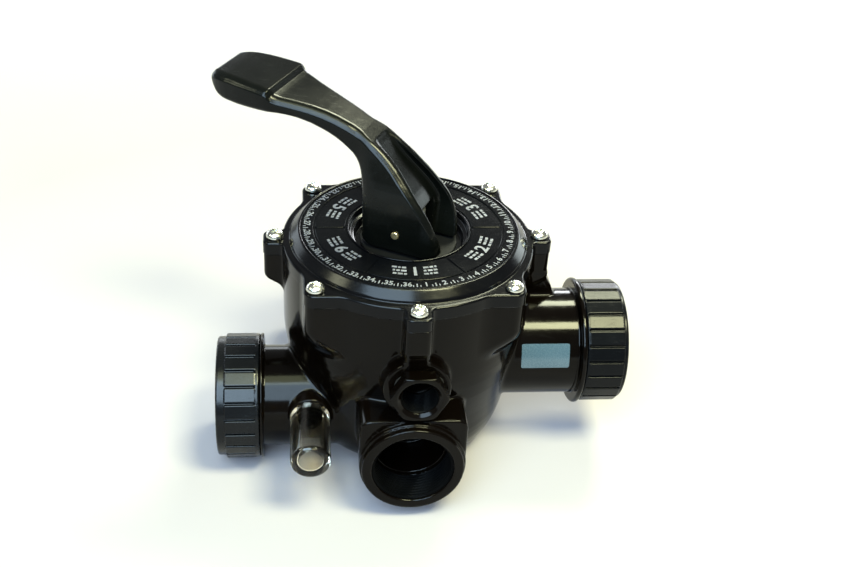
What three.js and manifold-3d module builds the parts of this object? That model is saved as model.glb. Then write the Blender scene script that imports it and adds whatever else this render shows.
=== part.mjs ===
// Multiport valve, 1 1/2 inch: a hand-operated six-way diverter valve for a pool filter.
// Millimetres, +Z up. Origin: centre of the round foot, on the axis of the handle stem.
// Front is -Y: the waste and pump unions leave along -X and +X, the return port along -Y,
// and the two filter connections along +Y.
import * as THREE from 'three';
import { mergeVertices } from 'three/addons/utils/BufferGeometryUtils.js';
import Module from 'manifold-3d';

const wasm = await Module();
wasm.setup();

// ---------------------------------------------------------------- driving dimensions
const BORE_R = 23.9;            // G 1 1/2 female thread, bore radius
const SOCKET_R = 24.15;         // solvent socket for 48.3 mm pipe
const BODY_R = 80;              // barrel outside radius
const BODY_TOP = 139.7;         // joint face between body and lid
const FLOOR_Z = 11;             // inside floor
const SEAT_Z = 89;              // top of the seat deck
const DECK_Z = 83;              // underside of the seat deck
const LID_TOP = 155;            // dial face level
const FLANGE_TOP = 148;         // lid flange top
const SCREW_PCD = 170, SCREW_COUNT = 8;
const SQUARE = 67, SQUARE_R = 7;   // corner lugs: square with rounded corners
const LUG_TIP = 92, LUG_HALF = 7.7; // axis lugs
const RECESS_R = 38, RECESS_Z = 145; // well in the lid that holds the handle base
const STEM_R = 10;
const PIN_Z = 161, PIN_R = 2.5, PIN_HALF = 23.6;
const HANDLE_DEG = 152;         // handle direction
const PRESS_K = 17.19;          // stem lift per radian of handle tilt
const GAP = 0.3;

const PUMP = { y: -10, z: 71.6, pipeR: 35.3, collarIn: 112, collarOut: 115.6, collarR: 42, stub: 134, end: 143.5, pads: [1.1, 2.9] };
const WASTE = { y: -27, z: 41.3, pipeR: 33.1, collarIn: 93.2, collarOut: 95.2, collarR: 40.9, stub: 113.6, end: 123.1, pads: [2.4, 5.7] };
const STUB_R = 33.8, NUT_IN_R = 34.7, NUT_R = 38.9, NUT_RIB_R = 40.9, NUT_LIP_R = 29.3, NUT_LIP = 4.4;
const RETURN = { x: 0, z: 41.3, face: -103.3 };
const FILTER_X = 46, FILTER_Z = 41.3, FILTER_FACE = 115, FILTER_R = 31;
const GAUGE = { x: 2, z: 94.3, hexR: 18.3, face: -100, seat: -90 };
const GLASS = { x: -63.4, z: 50, r: 12.6, inR: 8.4, root: -60.9, end: -105 };

// ---------------------------------------------------------------- helpers
function toSolid(geometry) {
  const g = geometry.index ? geometry.clone() : geometry;
  for (const n of Object.keys(g.attributes)) if (n !== 'position') g.deleteAttribute(n);
  const m = mergeVertices(g, 1e-4);
  const idx = m.index.array, keep = [];
  for (let i = 0; i < idx.length; i += 3) {
    const a = idx[i], b = idx[i + 1], c = idx[i + 2];
    if (a !== b && b !== c && a !== c) keep.push(a, b, c);
  }
  const make = (tri) => new wasm.Manifold(new wasm.Mesh({ numProp: 3, vertProperties: new Float32Array(m.attributes.position.array), triVerts: new Uint32Array(tri) }));
  let s = make(keep);
  if (s.volume() < 0) {
    for (let i = 0; i < keep.length; i += 3) [keep[i + 1], keep[i + 2]] = [keep[i + 2], keep[i + 1]];
    s = make(keep);
  }
  return s;
}
const rotM = { x: new THREE.Matrix4().makeRotationX(Math.PI / 2), z: new THREE.Matrix4().makeRotationZ(-Math.PI / 2) };
// round surfaces use a few standard facet counts, so that mating rings line up facet to facet
const facets = (n) => (n >= 60 ? 32 : n >= 30 ? 20 : n >= 18 ? 12 : 8);
// cylinder or cone along Z
function cyl(r, z0, z1, seg = 32, x = 0, y = 0, rTop = r) {
  const g = new THREE.CylinderGeometry(rTop, r, z1 - z0, facets(seg));
  g.applyMatrix4(rotM.x);
  g.translate(x, y, (z0 + z1) / 2);
  return toSolid(g);
}
// cylinder along Y, rEnd at the +Y end
function cylY(r, y0, y1, x, z, seg = 32, rEnd = r) {
  const g = new THREE.CylinderGeometry(rEnd, r, y1 - y0, facets(seg));
  g.translate(x, (y0 + y1) / 2, z);
  return toSolid(g);
}
// cylinder along X, rEnd at the +X end
function cylX(r, x0, x1, y, z, seg = 32, rEnd = r) {
  const g = new THREE.CylinderGeometry(rEnd, r, x1 - x0, facets(seg));
  g.applyMatrix4(rotM.z);
  g.translate((x0 + x1) / 2, y, z);
  return toSolid(g);
}
function box(x0, x1, y0, y1, z0, z1) {
  const g = new THREE.BoxGeometry(x1 - x0, y1 - y0, z1 - z0);
  g.translate((x0 + x1) / 2, (y0 + y1) / 2, (z0 + z1) / 2);
  return toSolid(g);
}
// profile of [r, z] pairs turned about Z
function latheGeo(profile, seg) {
  const pts = profile.map(([r, z]) => new THREE.Vector2(r, z));
  if (profile[0][0] > 0) pts.push(pts[0].clone());
  const g = new THREE.LatheGeometry(pts, facets(seg));
  g.applyMatrix4(rotM.x);
  return g;
}
const lathe = (profile, seg = 48) => toSolid(latheGeo(profile, seg));
// the same, turned about a line along X or Y: profile is [r, distance along the axis]
function latheX(profile, y, z, seg = 40) {
  const g = latheGeo(profile, seg);
  g.applyMatrix4(new THREE.Matrix4().makeRotationY(Math.PI / 2));
  g.translate(0, y, z);
  return toSolid(g);
}
function latheY(profile, x, z, seg = 40) {
  const g = latheGeo(profile, seg);
  g.applyMatrix4(new THREE.Matrix4().makeRotationX(-Math.PI / 2));
  g.translate(x, 0, z);
  return toSolid(g);
}
function shapeOf(pts) {
  const s = new THREE.Shape();
  s.moveTo(pts[0][0], pts[0][1]);
  for (const p of pts.slice(1)) s.lineTo(p[0], p[1]);
  s.closePath();
  return s;
}
// outline in XY pulled up along Z
function prism(pts, z0, z1) {
  const g = new THREE.ExtrudeGeometry(shapeOf(pts), { depth: z1 - z0, bevelEnabled: false });
  g.translate(0, 0, z0);
  return toSolid(g);
}
// outline in XZ pulled along Y from y0 to y1
function prismY(pts, y0, y1) {
  const g = new THREE.ExtrudeGeometry(shapeOf(pts), { depth: y1 - y0, bevelEnabled: false });
  g.applyMatrix4(rotM.x);
  g.translate(0, y1, 0);
  return toSolid(g);
}
// outline in YZ pulled along X from x0 to x1
function prismX(pts, x0, x1) {
  const g = new THREE.ExtrudeGeometry(shapeOf(pts), { depth: x1 - x0, bevelEnabled: false });
  g.applyMatrix4(new THREE.Matrix4().set(0, 0, 1, 0, 1, 0, 0, 0, 0, 1, 0, 0, 0, 0, 0, 1));
  g.translate(x0, 0, 0);
  return toSolid(g);
}
const add = (...s) => s.reduce((a, b) => a.add(b));
const rad = (d) => (d * Math.PI) / 180;
const polar = (r, d) => [r * Math.cos(rad(d)), r * Math.sin(rad(d))];
function turned(s, deg) {
  const g = fromSolid(s);
  g.rotateZ(rad(deg));
  return toSolid(g);
}
function fromSolid(s) {
  const m = s.getMesh();
  const n = m.numProp;
  const pos = new Float32Array(m.numVert * 3);
  for (let i = 0; i < m.numVert; i++) for (let k = 0; k < 3; k++) pos[3 * i + k] = m.vertProperties[n * i + k];
  const g = new THREE.BufferGeometry();
  g.setAttribute('position', new THREE.BufferAttribute(pos, 3));
  g.setIndex(new THREE.BufferAttribute(new Uint32Array(m.triVerts), 1));
  g.computeVertexNormals();
  return g;
}
function arc(cx, cy, r, a0, a1, n) {
  const out = [];
  for (let i = 0; i <= n; i++) {
    const a = rad(a0 + ((a1 - a0) * i) / n);
    out.push([cx + r * Math.cos(a), cy + r * Math.sin(a)]);
  }
  return out;
}
function torus(R, r, seg) {
  return new THREE.TorusGeometry(R, r, 6, facets(seg));
}

const valve = new THREE.Group();
const handleGroup = new THREE.Group();      // turned to the handle's direction
handleGroup.rotation.z = rad(HANDLE_DEG);
valve.add(handleGroup);

const M = {
  black: [0x14151a, 0.28, 0.0], blackSatin: [0x17181b, 0.42, 0.0], dial: [0x1a1c20, 0.35, 0.0], steel: [0xc9c8c2, 0.3, 1.0],
  pin: [0xb0986a, 0.35, 1.0], rubber: [0x101010, 0.8, 0.0], acetal: [0x262627, 0.4, 0.0], clear: [0xdfe6e4, 0.08, 0.0],
  label: [0xbfe3e2, 0.45, 0.0], spring: [0xb9bbbd, 0.3, 1.0], grey: [0x55585c, 0.5, 0.0],
};
function node(name, solidOrGeo, mat, parent = valve) {
  const [color, roughness, metalness] = M[mat];
  const geo = solidOrGeo.isBufferGeometry ? solidOrGeo : fromSolid(solidOrGeo);
  const mesh = new THREE.Mesh(geo, new THREE.MeshStandardMaterial({ color, roughness, metalness }));
  mesh.name = name;
  parent.add(mesh);
  return mesh;
}

// ---------------------------------------------------------------- plan outlines of the flange
const cornerOutline = [[30, 30], [SQUARE, 30], ...arc(SQUARE - SQUARE_R, SQUARE - SQUARE_R, SQUARE_R, 0, 90, 4), [30, SQUARE]];
const lugOutline = [[60, -LUG_HALF], ...arc(LUG_TIP - 4, -LUG_HALF + 4, 4, -90, 0, 2), ...arc(LUG_TIP - 4, LUG_HALF - 4, 4, 0, 90, 2), [60, LUG_HALF]];
function flange(z0, z1) {
  let s = cyl(BODY_R, z0, z1, 64);
  for (let k = 0; k < 4; k++) {
    s = s.add(turned(prism(cornerOutline, z0, z1), 90 * k));
    s = s.add(turned(prism(lugOutline, z0, z1), 90 * k));
  }
  return s;
}

// ---------------------------------------------------------------- valve body
{
  let s = lathe([[0, 5], [51, 5], [57, 6.5], [61.5, 10], [65, 15], [68, 23], [70.3, 32], [72.3, 45], [75, 58], [79, 75], [BODY_R, 86], [BODY_R, BODY_TOP], [0, BODY_TOP]], 64);
  s = s.add(cyl(32, 0, 6, 40));          // round foot
  // screw lugs: undersides run back to the barrel on a cone
  const cone = lathe([[0, 112], [77, 112], [92.5, 121.5], [99, 126], [99, BODY_TOP], [0, BODY_TOP]], 64);
  const corner = lathe([[0, 101], [77, 101], [92, 113.5], [99, 119], [99, BODY_TOP], [0, BODY_TOP]], 64);
  for (let k = 0; k < 4; k++) {
    s = s.add(turned(prism(cornerOutline, 100, BODY_TOP), 90 * k).intersect(corner));
    s = s.add(turned(prism(lugOutline, 104, BODY_TOP), 90 * k).intersect(cone));
  }
  // web from the right lug down to the pump neck
  s = s.add(turned(prismX([[-70, 100], [-70, 123], [-91.5, 121.5], [-96.5, 112], [-98.5, 104], [-98.5, 100]], -7.7, 7.7), 90));
  // rib from the front lug down to the gauge port
  s = s.add(prismX([[-92, 125], [-91.6, 118], [-89.6, 103], [-89.4, 96], [-70, 96], [-70, 125]], -7.8, 7.8));
  // port necks
  s = s.add(cylX(PUMP.pipeR, 30, PUMP.collarIn + 1, PUMP.y, PUMP.z, 40));
  s = s.add(cylX(PUMP.collarR, PUMP.collarIn, PUMP.collarOut, PUMP.y, PUMP.z, 40));
  s = s.add(cylX(STUB_R, PUMP.collarOut - 1, PUMP.stub, PUMP.y, PUMP.z, 40));
  s = s.add(cylX(WASTE.pipeR, -WASTE.collarIn - 1, -30, WASTE.y, WASTE.z, 40));
  s = s.add(cylX(WASTE.collarR, -WASTE.collarOut, -WASTE.collarIn, WASTE.y, WASTE.z, 40));
  s = s.add(cylX(STUB_R, -WASTE.stub, -WASTE.collarOut + 1, WASTE.y, WASTE.z, 40));
  s = s.add(box(-33.5, 33.5, -96, -40, RETURN.z, 69));
  s = s.add(box(-27, 27, -96, -40, 66, 75));
  s = s.add(cylY(33.5, -99, -40, RETURN.x, RETURN.z, 40));
  s = s.add(cylY(32, RETURN.face, -98.9, RETURN.x, RETURN.z, 40, 33.5));
  for (const x of [-FILTER_X, FILTER_X]) {
    s = s.add(cylY(FILTER_R, 20, FILTER_FACE - 4, x, FILTER_Z, 40));
    s = s.add(cylY(FILTER_R, FILTER_FACE - 4.1, FILTER_FACE, x, FILTER_Z, 40, FILTER_R - 1.5));
  }
  s = s.add(cylY(21, GAUGE.seat, -60, GAUGE.x * 0.5, GAUGE.z, 32));
  s = s.add(cylY(13.6, -60.6, -45, GLASS.x, GLASS.z, 28));
  s = s.add(cylY(8.0, -66, -59, GLASS.x, GLASS.z, 20));
  s = s.add(cylY(6.3, -69, -65.9, GLASS.x, GLASS.z, 20));
  // hollow
  s = s.subtract(lathe([[0, FLOOR_Z], [56, FLOOR_Z], [60.5, 15], [64.5, 31], [67, 46], [70.5, 60], [74.5, 78], [74.5, 150], [0, 150]], 64));
  // seat deck with five ports, the pump passage at its rim, and six dividing walls
  let deck = cyl(76, DECK_Z, SEAT_Z, 64);
  const wedge = (c, h, r0, r1, z0, z1) => prism([...arc(0, 0, r1, c - h, c + h, 6), ...arc(0, 0, r0, c + h, c - h, 4)], z0, z1);
  for (const c of [30, 90, 150, 210, 270]) deck = deck.subtract(wedge(c, 24, 19, 55, DECK_Z - 1, SEAT_Z + 1));
  deck = deck.subtract(wedge(-30, 22, 64.5, 73, DECK_Z - 1, SEAT_Z + 1));
  s = s.add(deck);
  const wall = (a0, a1) => {
    const [x0, y0] = [0, 0], [x1, y1] = polar(50, a0), [x2, y2] = polar(75, a1);
    const n0 = polar(2, a0 + 90), n1 = polar(2, a1 + 90);
    return prism([[x0 - n0[0], y0 - n0[1]], [x1 - n0[0], y1 - n0[1]], [x2 - n1[0], y2 - n1[1]], [x2 + n1[0], y2 + n1[1]], [x1 + n0[0], y1 + n0[1]], [x0 + n0[0], y0 + n0[1]]], FLOOR_Z - 1, DECK_Z + 1);
  };
  const inside = lathe([[0, FLOOR_Z - 2], [57, FLOOR_Z - 2], [62.5, 17], [66.5, 31], [69, 46], [72.5, 60], [76.5, 78], [76.5, 90], [0, 90]], 64);
  let walls = wall(0, 14.5);
  for (const [a0, a1] of [[60, 74], [120, 106], [180, 178], [240, 240], [300, 300]]) walls = walls.add(wall(a0, a1));
  s = s.add(walls.intersect(inside));
  s = s.add(cyl(12, FLOOR_Z - 1, DECK_Z + 1, 24));
  s = s.subtract(cyl(6.1, 83.5, SEAT_Z + 1, 20));          // pivot socket for the diverter
  // port bores
  s = s.subtract(cylX(24, 66.5, PUMP.stub + 1, PUMP.y, PUMP.z, 36));
  s = s.subtract(cylX(28.4, PUMP.collarOut + 1.2, PUMP.stub + 1, PUMP.y, PUMP.z, 36));
  s = s.subtract(cylX(24, -WASTE.stub - 1, -55, WASTE.y, WASTE.z, 36));
  s = s.subtract(cylX(28.4, -WASTE.stub - 1, -WASTE.collarOut - 1.2, WASTE.y, WASTE.z, 36));
  s = s.subtract(cylY(BORE_R, RETURN.face - 1, -58, RETURN.x, RETURN.z, 36));
  for (const x of [-FILTER_X, FILTER_X]) s = s.subtract(cylY(BORE_R, 45, FILTER_FACE + 1, x, FILTER_Z, 36));
  s = s.subtract(cylY(13.8, GAUGE.seat - 1, -76.5, GAUGE.x, GAUGE.z, 28));
  s = s.subtract(cylY(4, -77, -70, GAUGE.x, GAUGE.z + 1, 16));
  s = s.subtract(cylY(3.5, -70, -46, GLASS.x, GLASS.z, 16));
  // ring grooves in the union faces, the gauge seat and the sight glass seat
  s = s.subtract(latheX([[29.9, PUMP.stub - 2.3], [32.7, PUMP.stub - 2.3], [32.7, PUMP.stub + 1], [29.9, PUMP.stub + 1]], PUMP.y, PUMP.z, 32));
  s = s.subtract(latheX([[29.9, -WASTE.stub - 1], [32.7, -WASTE.stub - 1], [32.7, -WASTE.stub + 2.3], [29.9, -WASTE.stub + 2.3]], WASTE.y, WASTE.z, 32));
  s = s.subtract(latheY([[14.2, GAUGE.seat - 1], [17, GAUGE.seat - 1], [17, GAUGE.seat + 2.2], [14.2, GAUGE.seat + 2.2]], GAUGE.x, GAUGE.z, 28));
  s = s.subtract(latheY([[9.0, -61.5], [11.8, -61.5], [11.8, -58.3], [9.0, -58.3]], GLASS.x, GLASS.z, 24));
  // screw pilot holes
  for (let k = 0; k < SCREW_COUNT; k++) {
    const [x, y] = polar(SCREW_PCD / 2, (360 / SCREW_COUNT) * k);
    s = s.subtract(cyl(2.75, 120, 150, 12, x, y));
  }
  node('valve_body', s, 'black');
}

// ---------------------------------------------------------------- lid and what it carries
{
  let s = flange(140, FLANGE_TOP);
  s = s.subtract(cyl(70, 139, 149, 48));
  s = s.add(lathe([[10.3, 124], [18, 124], [18, 139], [41, 139], [41, 147], [64, 147], [64, 139], [68, 139], [68, 130], [74.2, 130], [74.2, 132.2], [71.2, 132.2], [71.2, 135.8], [74.2, 135.8],
    [74.2, 140.2], [77.5, 140.2], [77.5, 147.9], [76.2, 149.6], [73.2, 152.6], [69.6, LID_TOP - 0.2], [68.8, LID_TOP], [68.8, 153], [39.2, 153], [39.2, LID_TOP], [RECESS_R, LID_TOP], [RECESS_R, RECESS_Z], [10.3, RECESS_Z]], 64));
  for (let k = 0; k < SCREW_COUNT; k++) {
    const [x, y] = polar(SCREW_PCD / 2, (360 / SCREW_COUNT) * k);
    s = s.subtract(cyl(2.8, 139, 150, 12, x, y));
  }
  node('lid', s, 'black');
  node('dial_plate', lathe([[39.5, 153.3], [68.5, 153.3], [68.5, 154.7], [39.5, 154.7]], 64), 'dial');
  const ring = torus(72.75, 1.45, 64);
  ring.translate(0, 0, 134);
  node('lid_seal_ring', ring, 'rubber');
}
for (let k = 0; k < SCREW_COUNT; k++) {
  const g = new THREE.Group();
  const [x, y] = polar(SCREW_PCD / 2, (360 / SCREW_COUNT) * k);
  g.position.set(x, y, 0);
  valve.add(g);
  let s = lathe([[0, 122], [2.4, 123.5], [2.4, 148.3], [5.7, 148.3], [5.5, 150.4], [3.2, 152.6], [0, 153.1]], 20);
  s = s.subtract(box(-2.8, 2.8, -0.6, 0.6, 151, 154).add(box(-0.6, 0.6, -2.8, 2.8, 151, 154)));
  node('lid_screw_' + (k + 1), s, 'steel', g);
}

// ---------------------------------------------------------------- diverter (rotor) and its stem
{
  let s = lathe([[0, 84.5], [5.7, 84.5], [5.7, 92.6], [62, 92.6], [62, 98], [56.5, 99.5], [54, 112], [26, 115], [25.2, 101], [STEM_R, 101], [STEM_R, 127], [7.8, 127], [7.8, 130], [STEM_R, 130], [STEM_R, 133.2], [7.8, 133.2], [7.8, 136.2], [STEM_R, 136.2], [STEM_R, 169], [9, 170], [0, 170]], 40);
  const wedge = (c, h, r0, r1, z0, z1) => prism([...arc(0, 0, r1, c - h, c + h, 6), ...arc(0, 0, r0, c + h, c - h, 4)], z0, z1);
  s = s.subtract(wedge(-122, 23, 28, 51, 90, 120));         // open window to one seat port
  s = s.subtract(wedge(-2, 23, 27, 51, 90, 108));           // closed bridge between two seat ports
  s = s.subtract(wedge(118, 23, 27, 51, 90, 108));
  s = s.subtract(wedge(58, 62, 13, 22, 90, 97.5)).subtract(wedge(-2, 18, 13, 28, 90, 97.5)).subtract(wedge(118, 18, 13, 28, 90, 97.5));
  s = s.subtract(cylY(PIN_R + 0.3, -12, 12, 0, PIN_Z, 16));
  node('diverter', s, 'grey', handleGroup);
  for (const [n, z] of [['stem_seal_lower', 128.5], ['stem_seal_upper', 134.7]]) {
    const g = torus(9.0, 1.1, 36);
    g.translate(0, 0, z);
    node(n, g, 'rubber', handleGroup);
  }
  node('handle_pin', cylY(PIN_R, -PIN_HALF, PIN_HALF, 0, PIN_Z, 20), 'pin', handleGroup);
  node('handle_washer', lathe([[10.6, 145.3], [31, 145.3], [31, 146.9], [10.6, 146.9]], 36), 'acetal', handleGroup);
}
node('spring_washer', lathe([[16, 101.3], [24.6, 101.3], [24.6, 102.8], [16, 102.8]], 32), 'acetal');
{
  // compression spring round the lid's hub
  class Coil extends THREE.Curve {
    getPoint(t, target = new THREE.Vector3()) {
      const a = 2 * Math.PI * 4.5 * t;
      return target.set(20.5 * Math.cos(a), 20.5 * Math.sin(a), 104.8 + (136.9 - 104.8) * t);
    }
  }
  const wire = new THREE.Shape();
  for (let i = 0; i < 5; i++) {
    const p = polar(1.55, 72 * i);
    i ? wire.lineTo(p[0], p[1]) : wire.moveTo(p[0], p[1]);
  }
  node('diverter_spring', toSolid(new THREE.ExtrudeGeometry(wire, { steps: 52, extrudePath: new Coil(), bevelEnabled: false })), 'spring');
}
{
  // seat gasket: rim, six spokes and a hub in one moulding
  let s = lathe([[57.5, 89.3], [61.5, 89.3], [61.5, 92.3], [57.5, 92.3]], 48).add(lathe([[8, 89.3], [17, 89.3], [17, 92.3], [8, 92.3]], 28));
  for (let k = 0; k < 6; k++) s = s.add(turned(box(16, 58.5, -2, 2, 89.3, 92.3), 60 * k));
  node('seat_gasket', s, 'rubber');
}

// ---------------------------------------------------------------- handle
{
  const Z = 151; // heights in the two outlines are given above the screw-head level
  const top = [[131, 80.5], [132.3, 84], [131.5, 88], [129, 89.8], [122, 90.3], [114, 90.1], [106, 89.3], [98, 88.3], [90, 87.2], [86.5, 86.6], [85.6, 84.4], [82, 83.3], [74, 81.6], [66, 80], [58, 78.2], [50, 76], [42, 73.2], [34, 69.9], [26, 65.8], [18, 61.2],
    [8, 53.8], [-1, 45.3], [-9.5, 36], [-18, 26.5], [-24, 17.5], [-27.5, 8], [-28.5, -0.5], [-28, -3.7]];
  // toe of the foot: rolls on the washer while the pin rises PRESS_K per radian
  const toe = [];
  for (const d of [0, 10, 20]) {
    const t = rad(d), H = PIN_Z - 147 + PRESS_K * t;
    toe.push([PRESS_K * Math.cos(t) + H * Math.sin(t), PIN_Z + PRESS_K * Math.sin(t) - H * Math.cos(t) + GAP - Z]);
  }
  const under = [[25.6, -1], [26, 1], [26.3, 22], [27.2, 38], [29.5, 46.5], [34, 53], [42, 59.6], [50, 64.2], [58, 67.6], [66, 70.6], [74, 72.8], [82, 74.2], [90, 74.4], [98, 74.2], [106, 74.1], [114, 74.2], [122, 74.6], [127, 76.4]];
  const side = prismY([...top, ...toe, ...under].map(([x, z]) => [x, z + Z]), -40, 40);
  // plan of the arm and paddle
  const half = [[12, 12.2], [26, 12.4], [34, 13], [42, 13.8], [50, 14.6], [58, 16], [66, 18.2], [74, 21], [82, 24], [87, 25.3], [92, 25.3], [98, 24.8], [106, 24.2], [114, 23.4], [122, 21.2], [127, 19.5], [130, 17.2], [132.3, 12]];
  const arm = prism([...half.map(([x, w]) => [x, -w]), ...half.slice().reverse()], 130, 260);
  // end view of the fork that the arm grows out of
  const w = [[-3.7, 23.4], [0, 24], [10, 24], [20, 23.5], [28, 22.8], [35, 21.7], [40, 20.4], [45, 18.7], [52, 15.9], [58, 13.6], [64, 12.3], [80, 12.2]];
  const end = prismX([...w.map(([z, h]) => [h, z + Z]), ...w.slice().reverse().map(([z, h]) => [-h, z + Z])], -31, 29.5);
  const R = 14, plan = prism([...arc(27 - R, 24 - R, R, 0, 90, 5), ...arc(-29 + R, 24 - R, R, 90, 180, 5), ...arc(-29 + R, -24 + R, R, 180, 270, 5), ...arc(27 - R, -24 + R, R, 270, 360, 5)], 140, 230);
  let s = side.intersect(arm.add(end.intersect(plan)));
  // slot between the fork legs for the stem, and the open pocket down the back
  s = s.subtract(box(-13.5, 16.2, -10.6, 10.6, 140, 174));
  const pocketSide = prismY([[21, 80], [21, 63.4], [12, 52], [2, 40.5], [-6, 31], [-12.5, 22], [-12.6, -10], [-45, -10], [-45, 80]].map(([x, z]) => [x, z + Z]), -30, 30);
  const win = [[-10, 10.6], [-2, 10.6], [12, 15], [22, 17], [35, 15.5], [42, 13.2], [50, 10.5], [62, 8], [90, 7.8]];
  const pocketEnd = prismX([...win.map(([z, h]) => [h, z + Z]), ...win.slice().reverse().map(([z, h]) => [-h, z + Z])], -50, 40);
  s = s.subtract(pocketSide.intersect(pocketEnd));
  s = s.subtract(cylY(PIN_R + 0.35, -40, 40, 0, PIN_Z, 16));
  node('handle', s, 'black', handleGroup);
}

// ---------------------------------------------------------------- unions
function union(side, P, nutName, tailName, ringName) {
  // side +1: along +X, -1: along -X
  const g = new THREE.Group();
  g.position.set(0, P.y, P.z);
  if (side < 0) g.rotation.z = Math.PI;
  valve.add(g);
  const outline = [];
  const RIBS = 24;
  for (let i = 0; i < RIBS; i++) {
    const a = (360 / RIBS) * i;
    for (const [da, r] of [[-6.5, NUT_R], [-6.1, NUT_RIB_R], [6.1, NUT_RIB_R], [6.5, NUT_R]]) outline.push(polar(r, a + da));
  }
  const x0 = P.collarOut + 0.3, x1 = P.end;
  const place = (z0, z1, pts) => {
    const e = new THREE.ExtrudeGeometry(shapeOf(pts), { depth: z1 - z0, bevelEnabled: false });
    e.translate(0, 0, z0);
    e.applyMatrix4(new THREE.Matrix4().makeRotationY(Math.PI / 2));
    return toSolid(e);
  };
  let nut = place(x0 + P.pads[0], x1 - P.pads[1], outline);
  nut = nut.add(cylX(NUT_RIB_R, x0, x0 + P.pads[0] + 0.6, 0, 0, 40));
  nut = nut.add(cylX(NUT_R + 0.3, x1 - P.pads[1] - 0.6, x1 - 1.7, 0, 0, 40));
  nut = nut.add(cylX(NUT_R + 0.3, x1 - 1.8, x1, 0, 0, 40, NUT_R - 1));
  nut = nut.subtract(cylX(NUT_IN_R, x0 - 1, x1 - NUT_LIP, 0, 0, 36));
  nut = nut.subtract(cylX(NUT_LIP_R, x0 - 1, x1 + 1, 0, 0, 36));
  node(nutName, nut, 'blackSatin', g);
  const f0 = P.stub + 0.3, f1 = x1 - NUT_LIP - 0.3;
  node(tailName, latheX([[22, P.stub - 16], [28.1, P.stub - 16], [28.1, f0], [33.8, f0], [33.8, f1], [28.6, f1], [28.6, x1 - 0.4], [SOCKET_R, x1 - 0.4], [SOCKET_R, P.stub - 14], [22, P.stub - 14]], 0, 0, 36), 'blackSatin', g);
  const ring = torus(31.3, 1.25, 36);
  ring.rotateY(Math.PI / 2);
  ring.translate(P.stub - 0.95, 0, 0);
  node(ringName, ring, 'rubber', g);
}
union(1, PUMP, 'pump_union_nut', 'pump_union_tail', 'pump_union_seal');
union(-1, WASTE, 'waste_union_nut', 'waste_union_tail', 'waste_union_seal');

// ---------------------------------------------------------------- gauge port bush and sight glass
{
  const hex = [];
  for (let i = 0; i < 6; i++) hex.push(polar(GAUGE.hexR, 60 * i));
  const g = new THREE.ExtrudeGeometry(shapeOf(hex), { depth: 9.4, bevelEnabled: false });
  g.applyMatrix4(rotM.x);
  g.translate(GAUGE.x, GAUGE.face + 9.4, GAUGE.z);
  let s = toSolid(g).add(cylY(13.4, GAUGE.face + 9, -77, GAUGE.x, GAUGE.z, 28));
  s = s.subtract(cylY(11.2, GAUGE.face - 1, -76, GAUGE.x, GAUGE.z, 28));
  s = s.subtract(cylY(13.6, GAUGE.face - 1, GAUGE.face + 1.9, GAUGE.x, GAUGE.z, 28, 11.2));
  node('gauge_port_bush', s, 'black');
  const r1 = torus(15.6, 1.25, 28);
  r1.rotateX(Math.PI / 2);
  r1.translate(GAUGE.x, GAUGE.seat + 0.85, GAUGE.z);
  node('gauge_port_seal', r1, 'rubber');
  node('sight_glass', latheY([[8.35, GLASS.root], [12.2, GLASS.root], [GLASS.r, GLASS.root - 1.2], [GLASS.r, GLASS.end + 1.6], [11.2, GLASS.end], [0, GLASS.end], [0, GLASS.end + 3.5], [GLASS.inR, GLASS.end + 3.5]].map(([r, y]) => [r, y]), GLASS.x, GLASS.z, 32), 'clear');
  const r2 = torus(10.4, 1.1, 28);
  r2.rotateX(Math.PI / 2);
  r2.translate(GLASS.x, -59.55, GLASS.z);
  node('sight_glass_seal', r2, 'rubber');
}
{
  // blank adhesive label wrapped on the pump neck
  const pts = [...arc(0, 0, PUMP.pipeR + 0.75, 147, 174, 7), ...arc(0, 0, PUMP.pipeR + 0.35, 174, 147, 7)];
  node('blank_label', (() => {
    const g = new THREE.ExtrudeGeometry(shapeOf(pts), { depth: 32, bevelEnabled: false });
    g.applyMatrix4(new THREE.Matrix4().set(0, 0, 1, 0, 1, 0, 0, 0, 0, 1, 0, 0, 0, 0, 0, 1));
    g.translate(73, PUMP.y, PUMP.z);
    return toSolid(g);
  })(), 'label');
}

export default valve;
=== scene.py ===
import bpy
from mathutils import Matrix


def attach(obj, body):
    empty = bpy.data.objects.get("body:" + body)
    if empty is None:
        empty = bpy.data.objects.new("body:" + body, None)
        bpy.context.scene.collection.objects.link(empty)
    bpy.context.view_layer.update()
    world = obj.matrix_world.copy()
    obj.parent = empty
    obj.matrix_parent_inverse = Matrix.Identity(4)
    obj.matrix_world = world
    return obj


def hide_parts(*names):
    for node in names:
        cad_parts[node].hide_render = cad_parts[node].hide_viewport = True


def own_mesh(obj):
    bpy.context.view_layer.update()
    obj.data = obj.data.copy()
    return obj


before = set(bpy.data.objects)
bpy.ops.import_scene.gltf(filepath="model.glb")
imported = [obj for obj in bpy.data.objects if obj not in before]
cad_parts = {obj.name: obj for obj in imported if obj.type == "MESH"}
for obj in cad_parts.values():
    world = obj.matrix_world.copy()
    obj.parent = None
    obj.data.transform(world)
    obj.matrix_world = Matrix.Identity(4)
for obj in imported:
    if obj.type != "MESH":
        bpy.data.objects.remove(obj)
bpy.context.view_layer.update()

import math

import bmesh
import bpy
import numpy as np
import openvdb as vdb
from mathutils import Matrix, Vector

MM = 0.001
scene = bpy.context.scene

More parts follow.
